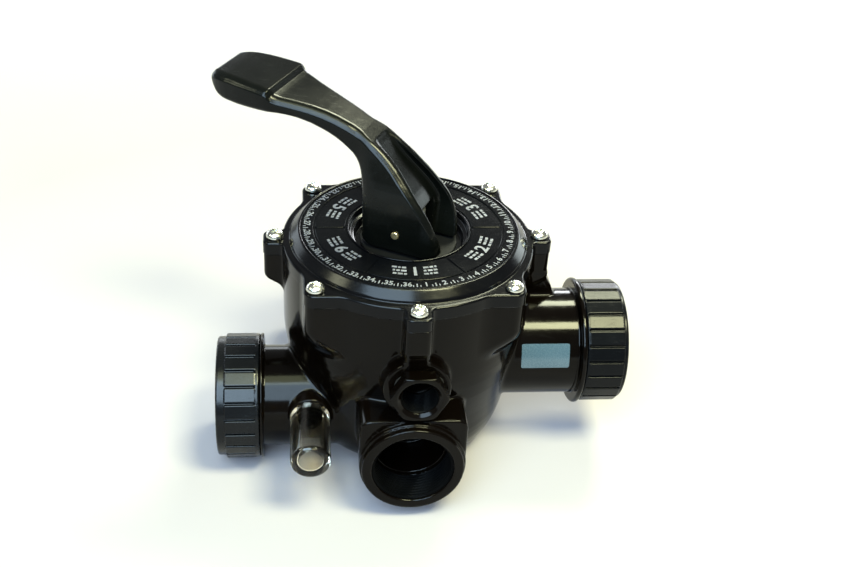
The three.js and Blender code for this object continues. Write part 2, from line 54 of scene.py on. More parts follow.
# ------------------------------------------------------------------ dimensions (millimetres, part frame)
BODY_TOP = 139.7
PUMP = dict(y=-10.0, z=71.6, pipe=35.3, c0=112.0, c1=115.6, stub=134.0, end=143.5)
WASTE = dict(y=-27.0, z=41.3, pipe=33.1, c0=93.2, c1=95.2, stub=113.6, end=123.1)
COLLAR_R = 40.9
RET_Z = 41.3
GX, GZ = 2.0, 94.3
SX, SZ = -63.4, 50.0
PIN_Z = 161.0
TH = math.radians(152.0)
CS, SN = math.cos(TH), math.sin(TH)


# ------------------------------------------------------------------ distance-field tools
def ru(a, b, r):
    """Union with a fillet of radius r."""
    return np.maximum(r, np.minimum(a, b)) - np.hypot(np.maximum(r - a, 0), np.maximum(r - b, 0))


def ri(a, b, r):
    """Intersection with a rounded edge of radius r."""
    return np.minimum(-r, np.maximum(a, b)) + np.hypot(np.maximum(r + a, 0), np.maximum(r + b, 0))


def rs(a, b, r):
    """a with b cut away, its edge rounded by r."""
    return ri(a, -b, r)


def disc(rho, t, R, t0, t1, e=1.0):
    """Cylinder of radius R from t0 to t1 along its axis, edges rounded by e."""
    qx = rho - (R - e)
    qy = np.abs(t - (t0 + t1) / 2) - ((t1 - t0) / 2 - e)
    return np.minimum(np.maximum(qx, qy), 0) + np.hypot(np.maximum(qx, 0), np.maximum(qy, 0)) - e


def box2(u, v, hu, hv, e):
    qx = np.abs(u) - (hu - e)
    qy = np.abs(v) - (hv - e)
    return np.minimum(np.maximum(qx, qy), 0) + np.hypot(np.maximum(qx, 0), np.maximum(qy, 0)) - e


def fillet(pts, rad, closed=True, step=6.0):
    """Polyline with each corner turned into an arc. rad is one radius or one per point, cut down where an edge is short."""
    pts = [np.array(p, float) for p in pts]
    n = len(pts)
    rads = list(rad) if hasattr(rad, "__len__") else [rad] * n
    out = []
    for i, p in enumerate(pts):
        if not closed and i in (0, n - 1):
            out.append(p)
            continue
        a, b = pts[i - 1] - p, pts[(i + 1) % n] - p
        la, lb = np.linalg.norm(a), np.linalg.norm(b)
        if la < 1e-9 or lb < 1e-9:
            out.append(p)
            continue
        a, b = a / la, b / lb
        turn = math.pi - math.acos(max(-1, min(1, float(a @ b))))
        if turn < 1e-3 or rads[i] <= 0:
            out.append(p)
            continue
        t = min(rads[i] * math.tan(turn / 2), 0.495 * min(la, lb))
        R = t / math.tan(turn / 2)
        p0, p1 = p + a * t, p + b * t
        mid = (a + b) / np.linalg.norm(a + b)
        c = p + mid * math.hypot(R, t)
        k = max(1, int(math.ceil(math.degrees(turn) / step)))
        a0 = math.atan2(p0[1] - c[1], p0[0] - c[0])
        a1 = math.atan2(p1[1] - c[1], p1[0] - c[0])
        da = (a1 - a0 + math.pi) % (2 * math.pi) - math.pi
        out += [c + R * np.array([math.cos(a0 + da * j / k), math.sin(a0 + da * j / k)]) for j in range(k + 1)]
    keep = [out[0]]
    for q in out[1:]:
        if np.linalg.norm(q - keep[-1]) > 1e-4:
            keep.append(q)
    if closed and np.linalg.norm(keep[0] - keep[-1]) < 1e-4:
        keep.pop()
    return [tuple(map(float, q)) for q in keep]


class Plane:
    """Signed distance to a polygon in a plane, sampled on a fine grid and read back by cubic-free bilinear lookup."""

    def __init__(self, pts, h=0.35, pad=10.0):
        P = np.array(pts, float)
        self.lo = P.min(0) - pad
        self.h = h
        self.n = np.ceil((P.max(0) + pad - self.lo) / h).astype(int) + 1
        U, V = np.meshgrid(self.lo[0] + h * np.arange(self.n[0]), self.lo[1] + h * np.arange(self.n[1]), indexing="ij")
        best = np.full(U.shape, 1e18)
        sign = np.ones(U.shape)
        for i in range(len(P)):
            a, b = P[i], P[i - 1]
            ex, ey = b - a
            wx, wy = U - a[0], V - a[1]
            t = np.clip((wx * ex + wy * ey) / max(ex * ex + ey * ey, 1e-18), 0, 1)
            best = np.minimum(best, (wx - ex * t) ** 2 + (wy - ey * t) ** 2)
            c1, c2, c3 = V >= a[1], V < b[1], ex * wy > ey * wx
            sign = np.where((c1 & c2 & c3) | (~c1 & ~c2 & ~c3), -sign, sign)
        self.d = (sign * np.sqrt(best)).astype(np.float32)

    def __call__(self, u, v):
        fu, fv = (u - self.lo[0]) / self.h, (v - self.lo[1]) / self.h
        cu, cv = np.clip(fu, 0, self.n[0] - 1.001), np.clip(fv, 0, self.n[1] - 1.001)
        iu, iv = cu.astype(np.int32), cv.astype(np.int32)
        tu, tv = cu - iu, cv - iv
        k = iu * self.n[1] + iv
        f = self.d.ravel()
        top = f[k] * (1 - tv) + f[k + 1] * tv
        low = f[k + self.n[1]] * (1 - tv) + f[k + self.n[1] + 1] * tv
        return top * (1 - tu) + low * tu + self.h * np.hypot(fu - cu, fv - cv)


def new_mesh(name, P, faces):
    """P in millimetres; faces as an (n, k) integer array. Faces come out pointing outwards."""
    P = np.asarray(P, float)
    faces = np.asarray(faces, np.int64)
    T = faces[:, :3]
    vol = np.einsum("ij,ij->i", P[T[:, 0]], np.cross(P[T[:, 1]], P[T[:, 2]])).sum()
    if faces.shape[1] == 4:
        T2 = faces[:, [0, 2, 3]]
        vol += np.einsum("ij,ij->i", P[T2[:, 0]], np.cross(P[T2[:, 1]], P[T2[:, 2]])).sum()
    if vol < 0:
        faces = faces[:, ::-1]
    me = bpy.data.meshes.new(name)
    me.vertices.add(len(P))
    me.vertices.foreach_set("co", (P * MM).astype(np.float32).ravel())
    me.loops.add(faces.size)
    me.loops.foreach_set("vertex_index", faces.astype(np.int32).ravel())
    me.polygons.add(len(faces))
    me.polygons.foreach_set("loop_start", (np.arange(len(faces)) * faces.shape[1]).astype(np.int32))
    me.update(calc_edges=True)
    me.validate()
    return me


def obj_of(name, me, material, body, replaces=()):
    o = bpy.data.objects.new(name, me)
    scene.collection.objects.link(o)
    me.materials.clear()
    me.materials.append(material)
    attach(o, body)
    if replaces:
        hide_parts(*([replaces] if isinstance(replaces, str) else replaces))
    return o


def gradient(f, P, e=0.12):
    G = np.empty_like(P)
    for k in range(3):
        A, B = P.copy(), P.copy()
        A[:, k] += e
        B[:, k] -= e
        G[:, k] = (f(A[:, 0], A[:, 1], A[:, 2]) - f(B[:, 0], B[:, 1], B[:, 2])) / (2 * e)
    return G


def settle(f, P, h, steps=3):
    """Moves points onto the surface f = 0."""
    for _ in range(steps):
        d = f(P[:, 0], P[:, 1], P[:, 2])
        G = gradient(f, P)
        g2 = np.maximum((G * G).sum(1), 0.2)
        move = -(d / g2)[:, None] * G
        size = np.linalg.norm(move, axis=1)
        move *= (np.minimum(size, 0.6 * h) / np.maximum(size, 1e-9))[:, None]
        P = P + move
    return P


def carve(name, f, lo, hi, h, faces=150000, place=None):
    """Mesh of the surface f = 0, one closed skin, with normals taken from f."""
    n = [int(math.ceil((b - a) / h)) + 1 for a, b in zip(lo, hi)]
    ax = [(a + h * np.arange(k)).astype(np.float32) for a, k in zip(lo, n)]
    D = np.empty(n, np.float32)
    for i in range(0, n[0], 6):
        X, Y, Z = np.meshgrid(ax[0][i:i + 6], ax[1], ax[2], indexing="ij")
        D[i:i + 6] = f(X, Y, Z)
    D = np.clip(D / h, -3, 3)
    g = vdb.FloatGrid(3.0)
    g.copyFromArray(D)
    P, Q = g.convertToQuads(0.0)
    P = np.asarray(P, float) * h + np.array(lo, float)
    P = settle(f, P, h)
    me = new_mesh(name, P, Q)
    if 2 * len(Q) > faces:
        tmp = bpy.data.objects.new(name + "_t", me)
        scene.collection.objects.link(tmp)
        m = tmp.modifiers.new("d", "DECIMATE")
        m.ratio = faces / (2 * len(Q))
        dg = bpy.context.evaluated_depsgraph_get()
        small = bpy.data.meshes.new_from_object(tmp.evaluated_get(dg))
        bpy.data.objects.remove(tmp)
        me = small
        me.name = name
        co = np.empty(len(me.vertices) * 3, np.float32)
        me.vertices.foreach_get("co", co)
        P = settle(f, co.reshape(-1, 3).astype(float) / MM, h, 2)
    N = gradient(f, P, 0.2)
    N /= np.maximum(np.linalg.norm(N, axis=1), 1e-9)[:, None]
    if place is not None:
        R, t = np.array(place.to_3x3()), np.array(place.translation) / MM
        P = P @ R.T + t
        N = N @ R.T
    me.vertices.foreach_set("co", (P * MM).astype(np.float32).ravel())
    me.update()
    me.shade_smooth()
    me.normals_split_custom_set_from_vertices([tuple(v) for v in N])
    print("carved", name, len(me.vertices), "points", len(me.polygons), "faces")
    return me


def revolve(name, profile, axis="Z", at=(0, 0, 0), n=96, sharp=32, closed=True, wave=None):
    """Profile [(r, t)] turned about an axis. closed: the profile is a ring that doesn't touch the axis; else both its ends lie on it.
    wave(k, theta) is added to the radius of row k."""
    pr = np.array(profile, float)
    th = np.arange(n) * 2 * math.pi / n
    R = np.repeat(pr[:, :1], n, 1)
    if wave is not None:
        R = R + wave(pr, th)
    T = np.repeat(pr[:, 1:], n, 1)
    c, s = np.cos(th), np.sin(th)
    K = len(pr)
    rows = list(range(K))
    if closed:
        V = np.stack([R * c, R * s, T], 2).reshape(-1, 3)
        idx = np.arange(K * n).reshape(K, n)
        a, b = idx, np.roll(idx, -1, 0)
        F = np.stack([a, np.roll(a, -1, 1), np.roll(b, -1, 1), b], 2).reshape(-1, 4)
        faces = F.tolist()
    else:
        inner = np.stack([R[1:-1] * c, R[1:-1] * s, T[1:-1]], 2).reshape(-1, 3)
        V = np.vstack([inner, [[0, 0, pr[0, 1]], [0, 0, pr[-1, 1]]]])
        idx = np.arange((K - 2) * n).reshape(K - 2, n)
        a, b = idx[:-1], idx[1:]
        F = np.stack([a, np.roll(a, -1, 1), np.roll(b, -1, 1), b], 2).reshape(-1, 4)
        faces = F.tolist()
        p0, p1 = len(V) - 2, len(V) - 1
        r0, r1 = idx[0], idx[-1]
        faces += [[p0, int(r0[(j + 1) % n]), int(r0[j])] for j in range(n)]
        faces += [[p1, int(r1[j]), int(r1[(j + 1) % n])] for j in range(n)]
    if axis == "Y":
        V = V[:, [1, 2, 0]]
    elif axis == "X":
        V = V[:, [2, 0, 1]]
    V = V + np.array(at, float)
    me = bpy.data.meshes.new(name)
    me.from_pydata([tuple(v) for v in V * MM], [], faces)
    me.update()
    bm = bmesh.new()
    bm.from_mesh(me)
    bmesh.ops.recalc_face_normals(bm, faces=bm.faces)
    bm.to_mesh(me)
    bm.free()
    me.shade_smooth()
    me.set_sharp_from_angle(angle=math.radians(sharp))
    return me


def thread_rows(t0, t1, pitch, per=8):
    k = max(2, int(round((t1 - t0) / pitch * per)))
    return [t0 + (t1 - t0) * i / k for i in range(k + 1)]


def ridge(x):
    """Flat-topped thread form over one turn, 0 at the root and 1 at the crest."""
    x = np.abs((x % 1.0) - 0.5) * 2
    return np.clip((x - 0.22) / 0.5, 0, 1)


def screw_ring(name, axis, at, t0, t1, r_plain, r_root, depth, pitch, outside, n=120, fade=1.2, hand=1):
    """Threaded ring from t0 to t1: the threaded face is at r_root + depth outside, or r_root - depth inside; the other face is plain."""
    rows = thread_rows(t0, t1, pitch)
    prof = [(r_root, t) for t in rows] + [(r_plain, rows[-1]), (r_plain, rows[0])]
    m = len(rows)

    def wave(pr, th):
        t = pr[:m, 1][:, None]
        w = ridge(t / pitch + hand * th[None, :] / (2 * math.pi))
        edge = np.clip((t - rows[0]) / fade, 0, 1) * np.clip((rows[-1] - t) / fade, 0, 1)
        out = np.zeros((len(pr), len(th)))
        out[:m] = (depth if outside else -depth) * w * edge
        return out

    return revolve(name, prof, axis, at, n=n, sharp=40, wave=wave)


# ------------------------------------------------------------------ materials
def principled(name):
    m = bpy.data.materials.new(name)
    m.use_nodes = True
    nt = m.node_tree
    nt.nodes.clear()
    out = nt.nodes.new("ShaderNodeOutputMaterial")
    b = nt.nodes.new("ShaderNodeBsdfPrincipled")
    nt.links.new(b.outputs[0], out.inputs[0])
    tc = nt.nodes.new("ShaderNodeTexCoord")
    return m, nt, b, tc.outputs["Object"]


def noise(nt, vec, scale, detail=4, rough=0.5, stretch=None, seed=0.0):
    mp = nt.nodes.new("ShaderNodeMapping")
    if stretch:
        mp.inputs["Scale"].default_value = stretch
    mp.inputs["Location"].default_value = (seed, seed * 0.7, -seed)
    nt.links.new(vec, mp.inputs["Vector"])
    t = nt.nodes.new("ShaderNodeTexNoise")
    t.inputs["Scale"].default_value = scale
    t.inputs["Detail"].default_value = detail
    t.inputs["Roughness"].default_value = rough
    nt.links.new(mp.outputs[0], t.inputs["Vector"])
    return t.outputs["Fac"]


def remap(nt, x, a0, a1, b0, b1):
    r = nt.nodes.new("ShaderNodeMapRange")
    r.inputs["From Min"].default_value = a0
    r.inputs["From Max"].default_value = a1
    r.inputs["To Min"].default_value = b0
    r.inputs["To Max"].default_value = b1
    nt.links.new(x, r.inputs["Value"])
    return r.outputs[0]


def math_node(nt, op, a, b):
    n = nt.nodes.new("ShaderNodeMath")
    n.operation = op
    for i, v in enumerate((a, b)):
        if isinstance(v, (int, float)):
            n.inputs[i].default_value = v
        else:
            nt.links.new(v, n.inputs[i])
    return n.outputs[0]


def mix_colour(nt, fac, a, b):
    n = nt.nodes.new("ShaderNodeMix")
    n.data_type = "RGBA"
    for sock, v in ((n.inputs["Factor"], fac), (n.inputs["A"], a), (n.inputs["B"], b)):
        if isinstance(v, (tuple, list)):
            sock.default_value = (*v[:3], 1)
        elif isinstance(v, (int, float)):
            sock.default_value = v
        else:
            nt.links.new(v, sock)
    return n.outputs["Result"]


def bump(nt, b, height, strength, distance, chain=None):
    n = nt.nodes.new("ShaderNodeBump")
    n.inputs["Strength"].default_value = strength
    n.inputs["Distance"].default_value = distance
    nt.links.new(height, n.inputs["Height"])
    if chain is not None:
        nt.links.new(chain, n.inputs["Normal"])
    nt.links.new(n.outputs[0], b.inputs["Normal"])
    return n.outputs[0]


def plastic(name, dark, light, r0, r1, spec=0.4, grain=0.25, grain_scale=900, wavy=0.5, dust=0.25, coat=0.0, seed=0.0, tone=(0.0180, 0.0162, 0.0132)):
    """Moulded plastic: faint mottling in colour, rubbed patches in roughness, very fine grain and slow waviness in the surface, a little dust."""
    m, nt, b, v = principled(name)
    big = noise(nt, v, 22, 3, 0.55, seed=seed)
    fine = noise(nt, v, grain_scale, 3, 0.6, seed=seed + 3)
    slow = noise(nt, v, 60, 2, 0.4, seed=seed + 7)
    scuff = noise(nt, v, 140, 6, 0.7, stretch=(1, 5, 1.4), seed=seed + 11)
    specks = noise(nt, v, 1900, 2, 0.5, seed=seed + 17)
    base = mix_colour(nt, remap(nt, big, 0.3, 0.7, 0, 1), dark, light)
    fleck = math_node(nt, "MULTIPLY", remap(nt, specks, 0.69, 0.75, 0, 1), remap(nt, big, 0.42, 0.66, 0.0, dust))
    nt.links.new(mix_colour(nt, fleck, base, tone), b.inputs["Base Color"])
    rough = math_node(nt, "ADD", remap(nt, big, 0.3, 0.7, r0, r1), remap(nt, scuff, 0.52, 0.75, 0.0, 0.10))
    nt.links.new(math_node(nt, "ADD", rough, math_node(nt, "MULTIPLY", fleck, 0.3)), b.inputs["Roughness"])
    b.inputs["Specular IOR Level"].default_value = spec
    b.inputs["Coat Weight"].default_value = coat
    b.inputs["Coat Roughness"].default_value = 0.06
    one = bump(nt, b, slow, wavy * 0.10, 0.002)
    bump(nt, b, fine, grain * 0.25, 0.0002, one)
    return m


M_BODY = plastic("moulded_black", (0.0007, 0.0004, 0.0002), (0.0014, 0.0009, 0.0006), 0.09, 0.15, spec=0.105, grain=0.12, dust=0.25, tone=(0.0072, 0.0066, 0.0054))
M_LID = plastic("moulded_black_lid", (0.0005, 0.0005, 0.0008), (0.0011, 0.0012, 0.0016), 0.13, 0.20, spec=0.135, grain=0.15, dust=0.3, seed=4, tone=(0.0084, 0.0078, 0.0066))
M_HANDLE = plastic("moulded_black_handle", (0.0008, 0.0010, 0.0009), (0.0017, 0.0020, 0.0017), 0.16, 0.24, spec=0.13, grain=0.15, dust=0.3, seed=9, tone=(0.0084, 0.0078, 0.0066))
M_NUT = plastic("moulded_black_nut", (0.0008, 0.0010, 0.0014), (0.0018, 0.0022, 0.0029), 0.19, 0.27, spec=0.20, grain=0.2, dust=0.3, seed=15, tone=(0.0084, 0.0078, 0.0066))
M_NUT_PUMP = plastic("moulded_black_nut_pump", (0.0008, 0.0010, 0.0014), (0.0018, 0.0022, 0.0029), 0.19, 0.27, spec=0.095, grain=0.2, dust=0.3, seed=17, tone=(0.0084, 0.0078, 0.0066))
M_DIAL = plastic("dial_black", (0.0005, 0.0006, 0.0010), (0.0012, 0.0014, 0.0019), 0.16, 0.24, spec=0.06, grain=0.4, dust=0.3, seed=21, tone=(0.0108, 0.0108, 0.0102))
M_BORE = plastic("moulded_black_bore", (0.0005, 0.0006, 0.0007), (0.0011, 0.0012, 0.0014), 0.36, 0.46, spec=0.02, grain=0.2, dust=0.2, seed=27, tone=(0.0072, 0.0066, 0.0060))
M_GREY = plastic("moulded_grey", (0.022, 0.023, 0.025), (0.038, 0.039, 0.041), 0.38, 0.5, spec=0.4, grain=0.6, dust=0.2, seed=31)
M_WASHER = plastic("acetal_black", (0.0020, 0.0022, 0.0025), (0.0040, 0.0042, 0.0046), 0.30, 0.42, spec=0.12, grain=0.4, dust=0.3, seed=35, tone=(0.0120, 0.0114, 0.0102))
M_RUBBER = plastic("nitrile", (0.006, 0.006, 0.006), (0.011, 0.011, 0.010), 0.55, 0.7, spec=0.3, grain=1.0, dust=0.6, seed=39)


def print_ink():
    m, nt, b, v = principled("dial_print")
    f = noise(nt, v, 260, 4, 0.6, seed=2)
    w = noise(nt, v, 2600, 2, 0.5, seed=5)
    nt.links.new(mix_colour(nt, remap(nt, f, 0.35, 0.65, 0, 1), (0.053, 0.057, 0.070), (0.089, 0.094, 0.112)), b.inputs["Base Color"])
    nt.links.new(remap(nt, f, 0.3, 0.7, 0.35, 0.5), b.inputs["Roughness"])
    bump(nt, b, w, 0.12, 0.0001)
    return m


def metal(name, a, c, r0, r1, brush=(1, 1, 1), scale=500, seed=0.0, strength=0.15):
    m, nt, b, v = principled(name)
    f = noise(nt, v, 90, 4, 0.6, seed=seed)
    g = noise(nt, v, scale, 5, 0.7, stretch=brush, seed=seed + 2)
    nt.links.new(mix_colour(nt, remap(nt, f, 0.35, 0.65, 0, 1), a, c), b.inputs["Base Color"])
    b.inputs["Metallic"].default_value = 1.0
    nt.links.new(math_node(nt, "ADD", remap(nt, f, 0.3, 0.7, r0, r1), remap(nt, g, 0.45, 0.7, 0, 0.08)), b.inputs["Roughness"])
    bump(nt, b, g, strength, 0.0001)
    return m


M_PRINT = print_ink()
M_STEEL = metal("stainless", (0.55, 0.55, 0.49), (0.68, 0.68, 0.61), 0.14, 0.26, scale=900)
M_PIN = metal("pin_brass", (0.55, 0.44, 0.24), (0.68, 0.57, 0.34), 0.25, 0.4, scale=1200, seed=5)
M_SPRING = metal("spring_wire", (0.5, 0.5, 0.5), (0.62, 0.62, 0.61), 0.25, 0.4, scale=1200, seed=9)


def clear_plastic():
    m, nt, b, v = principled("clear_acrylic_painted_tan_view")
    f = noise(nt, v, 70, 4, 0.6, seed=3)
    s = noise(nt, v, 500, 5, 0.7, stretch=(3, 1, 3), seed=8)
    # The tan tint of the clear cup is a painted reflection: it stands in for the tan table seen through the glass. The
    # noise only mottles it.
    nt.links.new(mix_colour(nt, remap(nt, f, 0.35, 0.65, 0, 1), (0.88, 0.80, 0.64), (0.93, 0.86, 0.70)), b.inputs["Base Color"])
    nt.links.new(remap(nt, s, 0.35, 0.75, 0.02, 0.16), b.inputs["Roughness"])
    b.inputs["Transmission Weight"].default_value = 1.0
    b.inputs["IOR"].default_value = 1.38
    bump(nt, b, f, 0.05, 0.001)
    return m


def label_film():
    m, nt, b, v = principled("label_film")
    f = noise(nt, v, 40, 3, 0.5, seed=1)
    g = noise(nt, v, 1400, 3, 0.6, seed=4)
    sep = nt.nodes.new("ShaderNodeSeparateXYZ")
    nt.links.new(v, sep.inputs[0])
    low = remap(nt, sep.outputs["Z"], 0.0605, 0.0640, 1, 0)
    base = mix_colour(nt, remap(nt, f, 0.3, 0.7, 0, 1), (0.028, 0.054, 0.072), (0.038, 0.066, 0.086))
    nt.links.new(mix_colour(nt, low, base, (0.12, 0.105, 0.085)), b.inputs["Base Color"])
    nt.links.new(remap(nt, g, 0.4, 0.7, 0.22, 0.36), b.inputs["Roughness"])
    b.inputs["Coat Weight"].default_value = 0.4
    b.inputs["Coat Roughness"].default_value = 0.12
    bump(nt, b, f, 0.08, 0.001)
    return m


M_CLEAR = clear_plastic()
M_LABEL = label_film()


# ------------------------------------------------------------------ flange outline shared by body and lid
def outline(X, Y, grow=0.0):
    rho = np.hypot(X, Y)
    ax, ay = np.abs(X), np.abs(Y)
    a, b = np.maximum(ax, ay), np.minimum(ax, ay)
    ring = rho - 80.0
    square = box2(X, Y, 67.0, 67.0, 7.0)
    ear = box2(a, b, 92.0, 7.7, 4.0)
    return ru(ru(ring, square, 2.5), ear, 4.0) - grow


# ------------------------------------------------------------------ valve body
P_BARREL = Plane(fillet([(-40, 5), (47.5, 5), (55.5, 6.0), (61.2, 10), (65, 15.5), (68, 23), (70.3, 32), (72.3, 45), (75, 58), (78.6, 75), (80, 88), (80, 160), (-40, 160)],
                        [0, 4, 9, 12, 20, 40, 60, 200, 200, 120, 80, 0, 0]), h=0.5)
P_CONE = Plane(fillet([(-40, 112.5), (77, 112.5), (92.0, 121.8), (99, 126), (120, 140), (120, 170), (-40, 170)], [0, 0, 5, 5, 0, 0, 0]), h=0.5, pad=14)
P_CORNER = Plane(fillet([(-40, 97.5), (76.8, 97.5), (92.0, 115.0), (99, 123), (120, 140), (120, 170), (-40, 170)], [0, 0, 9, 5, 0, 0, 0]), h=0.5, pad=14)
P_WEB = Plane(fillet([(60, 96), (60, 124), (91.8, 124), (92.2, 119.5), (96, 112.5), (98.6, 104), (98.8, 96)], [0, 0, 3, 4, 14, 8, 0]), h=0.4)
P_NECK = Plane(fillet([(33.5, 41.3), (33.5, 75), (-33.5, 75), (-33.5, 41.3)] + [(-33.5 * math.cos(a), 41.3 - 33.5 * math.sin(a)) for a in np.linspace(0.06, math.pi - 0.06, 60)], [0, 7, 7, 0] + [0] * 60), h=0.35)
P_RIB = Plane(fillet([(-92, 160), (-91.8, 120), (-89.5, 103), (-89.2, 92), (-50, 92), (-50, 160)], [0, 30, 30, 0, 0, 0]), h=0.4)


def body_shape(X, Y, Z):
    rho = np.hypot(X, Y)
    d = P_BARREL(rho, Z)
    d = ru(d, disc(rho, Z, 32, 0, 9, 1.0), 1.5)
    ax, ay = np.abs(X), np.abs(Y)
    d = ru(d, ri(box2(X, Y, 67.0, 67.0, 7.0), P_CORNER(rho, Z), 3.5), 3.0)
    d = ru(d, ri(box2(np.maximum(ax, ay), np.minimum(ax, ay), 92.0, 7.7, 4.0), P_CONE(rho, Z), 1.6), 4.0)
    # front rib
    rib = ri(P_RIB(Y, Z), np.abs(X) - 7.8, 3.4)
    d = ru(d, rib, 2.0)
    # web between the right lug and the pump neck
    web = ri(P_WEB(X, Z), np.abs(Y) - 7.7, 3.2)
    d = ru(d, web, 3.0)
    # unions' necks and collars
    rp = np.hypot(Y - PUMP["y"], Z - PUMP["z"])
    d = ru(d, disc(rp, X, PUMP["pipe"], 10, PUMP["c0"] + 2, 0.5), 1.8)
    d = ru(d, disc(rp, X, 42.2, PUMP["c0"], PUMP["c1"], 1.5), 0.9)
    rw = np.hypot(Y - WASTE["y"], Z - WASTE["z"])
    d = ru(d, disc(rw, X, WASTE["pipe"], -WASTE["c0"] - 2, -10, 0.5), 2.2)
    d = ru(d, disc(rw, X, COLLAR_R, -WASTE["c1"], -WASTE["c0"], 0.9), 0.9)
    # return port neck
    neck = ri(P_NECK(X, Z), np.abs(Y + 68) - 28.5, 1.8)
    rr = np.hypot(X, Z - RET_Z)
    neck = np.minimum(neck, disc(rr, Y, 33.4, -99.2, -60, 0.9))
    neck = ru(neck, disc(rr, Y, 32.0, -103.3, -70, 1.0), 0.5)
    d = ru(d, neck, 2.2)
    # filter ports
    rf = np.hypot(np.abs(X) - 46.0, Z - RET_Z)
    ports = disc(rf, Y, 31.0, 20, 115, 1.3)
    d = ru(d, ports, 3.0)
    # gauge boss, sight glass boss
    rg = np.hypot(X - 1.0, Z - GZ)
    d = ru(d, disc(rg, Y, 21.0, -90, -55, 1.5), 2.0)
    rq = np.hypot(X - SX, Z - SZ)
    d = ru(d, disc(rq, Y, 13.6, -60.6, -45, 1.0), 1.5)
    d = ri(d, Z - BODY_TOP, 0.18)
    # rotor chamber
    d = rs(d, disc(rho, Z, 74.5, 89, 170, 1.0), 0.8)
    d = rs(d, disc(rho, Z, 6.1, 83.5, 100, 0.3), 0.3)
    # bores
    d = rs(d, disc(rp, X, 24.0, 66.5, 140, 1.0), 0.8)
    d = rs(d, disc(rw, X, 24.0, -120, -60, 1.0), 0.8)
    rg2 = np.hypot(X - GX, Z - GZ)
    d = rs(d, disc(rr, Y, 25.6, -120, -80, 0.5), 0.9)
    d = rs(d, disc(rr, Y, 22.4, -120, -52, 1.0), 0.6)
    d = rs(d, disc(rf, Y, 25.6, 92, 130, 0.5), 0.9)
    d = rs(d, disc(rf, Y, 22.4, 52, 130, 1.0), 0.6)
    d = rs(d, disc(rg2, Y, 13.9, -110, -76.5, 0.5), 0.6)
    d = rs(d, disc(rg2, Y, 4.0, -80, -64, 0.5), 0.4)
    return d


obj_of("body_shell", carve("body_shell", body_shape, (-98, -106, -2), (118, 118, 142), 1.15, faces=185000), M_BODY, "root", "valve_body")

# threads and spigots that belong to the body
PITCH = 2.309
for nm, at, t0, t1, axis in (("return_port_thread", (0, 0, RET_Z), -102.0, -80.5, "Y"), ("filter_port_thread_left", (-46, 0, RET_Z), 92.5, 113.8, "Y"), ("filter_port_thread_right", (46, 0, RET_Z), 92.5, 113.8, "Y")):
    obj_of(nm, screw_ring(nm, axis, at, t0, t1, 26.2, 25.2, 1.3, PITCH, outside=False, n=144), M_BORE, "root", ())


def stub(name, side, P):
    m = screw_ring(name, "X", (0, 0, 0), P["c1"] - 1.0, P["stub"], 28.4, 32.6, 1.2, PITCH, outside=True, n=144)
    for v in m.vertices:
        v.co.x *= side
        v.co.y += P["y"] * MM
        v.co.z += P["z"] * MM
    if side < 0:
        m.flip_normals()
    obj_of(name, m, M_BODY, "root", ())


stub("pump_neck_thread", 1, PUMP)
stub("waste_neck_thread", -1, WASTE)

# sight glass spigot, with its thread
obj_of("sight_glass_spigot", revolve("sight_glass_spigot", fillet([(0, -52), (8.0, -52), (8.0, -63.2), (6.9, -63.8), (6.9, -64.6), (7.9, -65.2), (7.9, -66.2), (6.4, -66.8), (6.4, -68.2), (5.6, -69.0), (3.4, -69.0), (3.4, -62), (0, -62)], 0.35, closed=False),
                                     "Y", (SX, 0, SZ), n=64, closed=False), M_BORE, "root", ())

# ------------------------------------------------------------------ lid
P_LID = Plane(fillet([(75.6, 142), (75.6, 148.8), (75.1, 150.0), (71.0, 154.3), (70.2, 154.98), (69.4, 154.95), (68.9, 154.6), (68.8, 153), (39.5, 153), (39.3, 154.9), (38.2, 154.9), (37.6, 151.2), (35.0, 150.2), (34.4, 145), (10.4, 145), (10.4, 124), (18, 124), (18, 139), (44, 139), (44, 146.5), (63, 146.5), (63, 139), (68, 139), (68, 130), (74.2, 130), (74.2, 142)],
                     [0, 1.6, 2.5, 1.8, 1.2, 0.4, 0.3, 0.2, 0.2, 0.4, 0.5, 1.0, 0.8, 0.6, 0.4, 0.4, 0.6, 1, 1, 1, 1, 1, 0.6, 0.6, 0.6, 0.3]), h=0.25)


def lid_shape(X, Y, Z):
    rho = np.hypot(X, Y)
    plate = ri(ri(outline(X, Y, 0.45), Z - 148.0, 1.5), 138.9 - Z, 0.4)
    plate = ri(plate, 70.0 - rho, 0.2)
    return ru(plate, P_LID(rho, Z), 0.9)


obj_of("lid_cover", carve("lid_cover", lid_shape, (-94, -94, 122), (94, 94, 157), 0.8, faces=185000), M_LID, "root", "lid")


# ------------------------------------------------------------------ dial
def raised(name, loops, z0, z1, b=0.18):
    """Thin raised pads: each loop is (outer outline at the foot, same outline drawn in by b), pulled up from z0 to z1."""
    V, F = [], []
    for out, inn in loops:
        k, o = len(out), len(V)
        V += [(x, y, z0) for x, y in out] + [(x, y, z1 - b) for x, y in out] + [(x, y, z1) for x, y in inn]
        F += [[o + i, o + (i + 1) % k, o + k + (i + 1) % k, o + k + i] for i in range(k)]
        F += [[o + k + i, o + k + (i + 1) % k, o + 2 * k + (i + 1) % k, o + 2 * k + i] for i in range(k)]
        F += [[o + 2 * k + i for i in range(k)], [o + i for i in reversed(range(k))]]
    me = bpy.data.meshes.new(name)
    me.from_pydata([tuple(c * MM for c in v) for v in V], [], F)
    me.update()
    bm = bmesh.new()
    bm.from_mesh(me)
    bmesh.ops.recalc_face_normals(bm, faces=bm.faces)
    bm.to_mesh(me)
    bm.free()
    me.shade_smooth()
    me.set_sharp_from_angle(angle=math.radians(20))
    return me


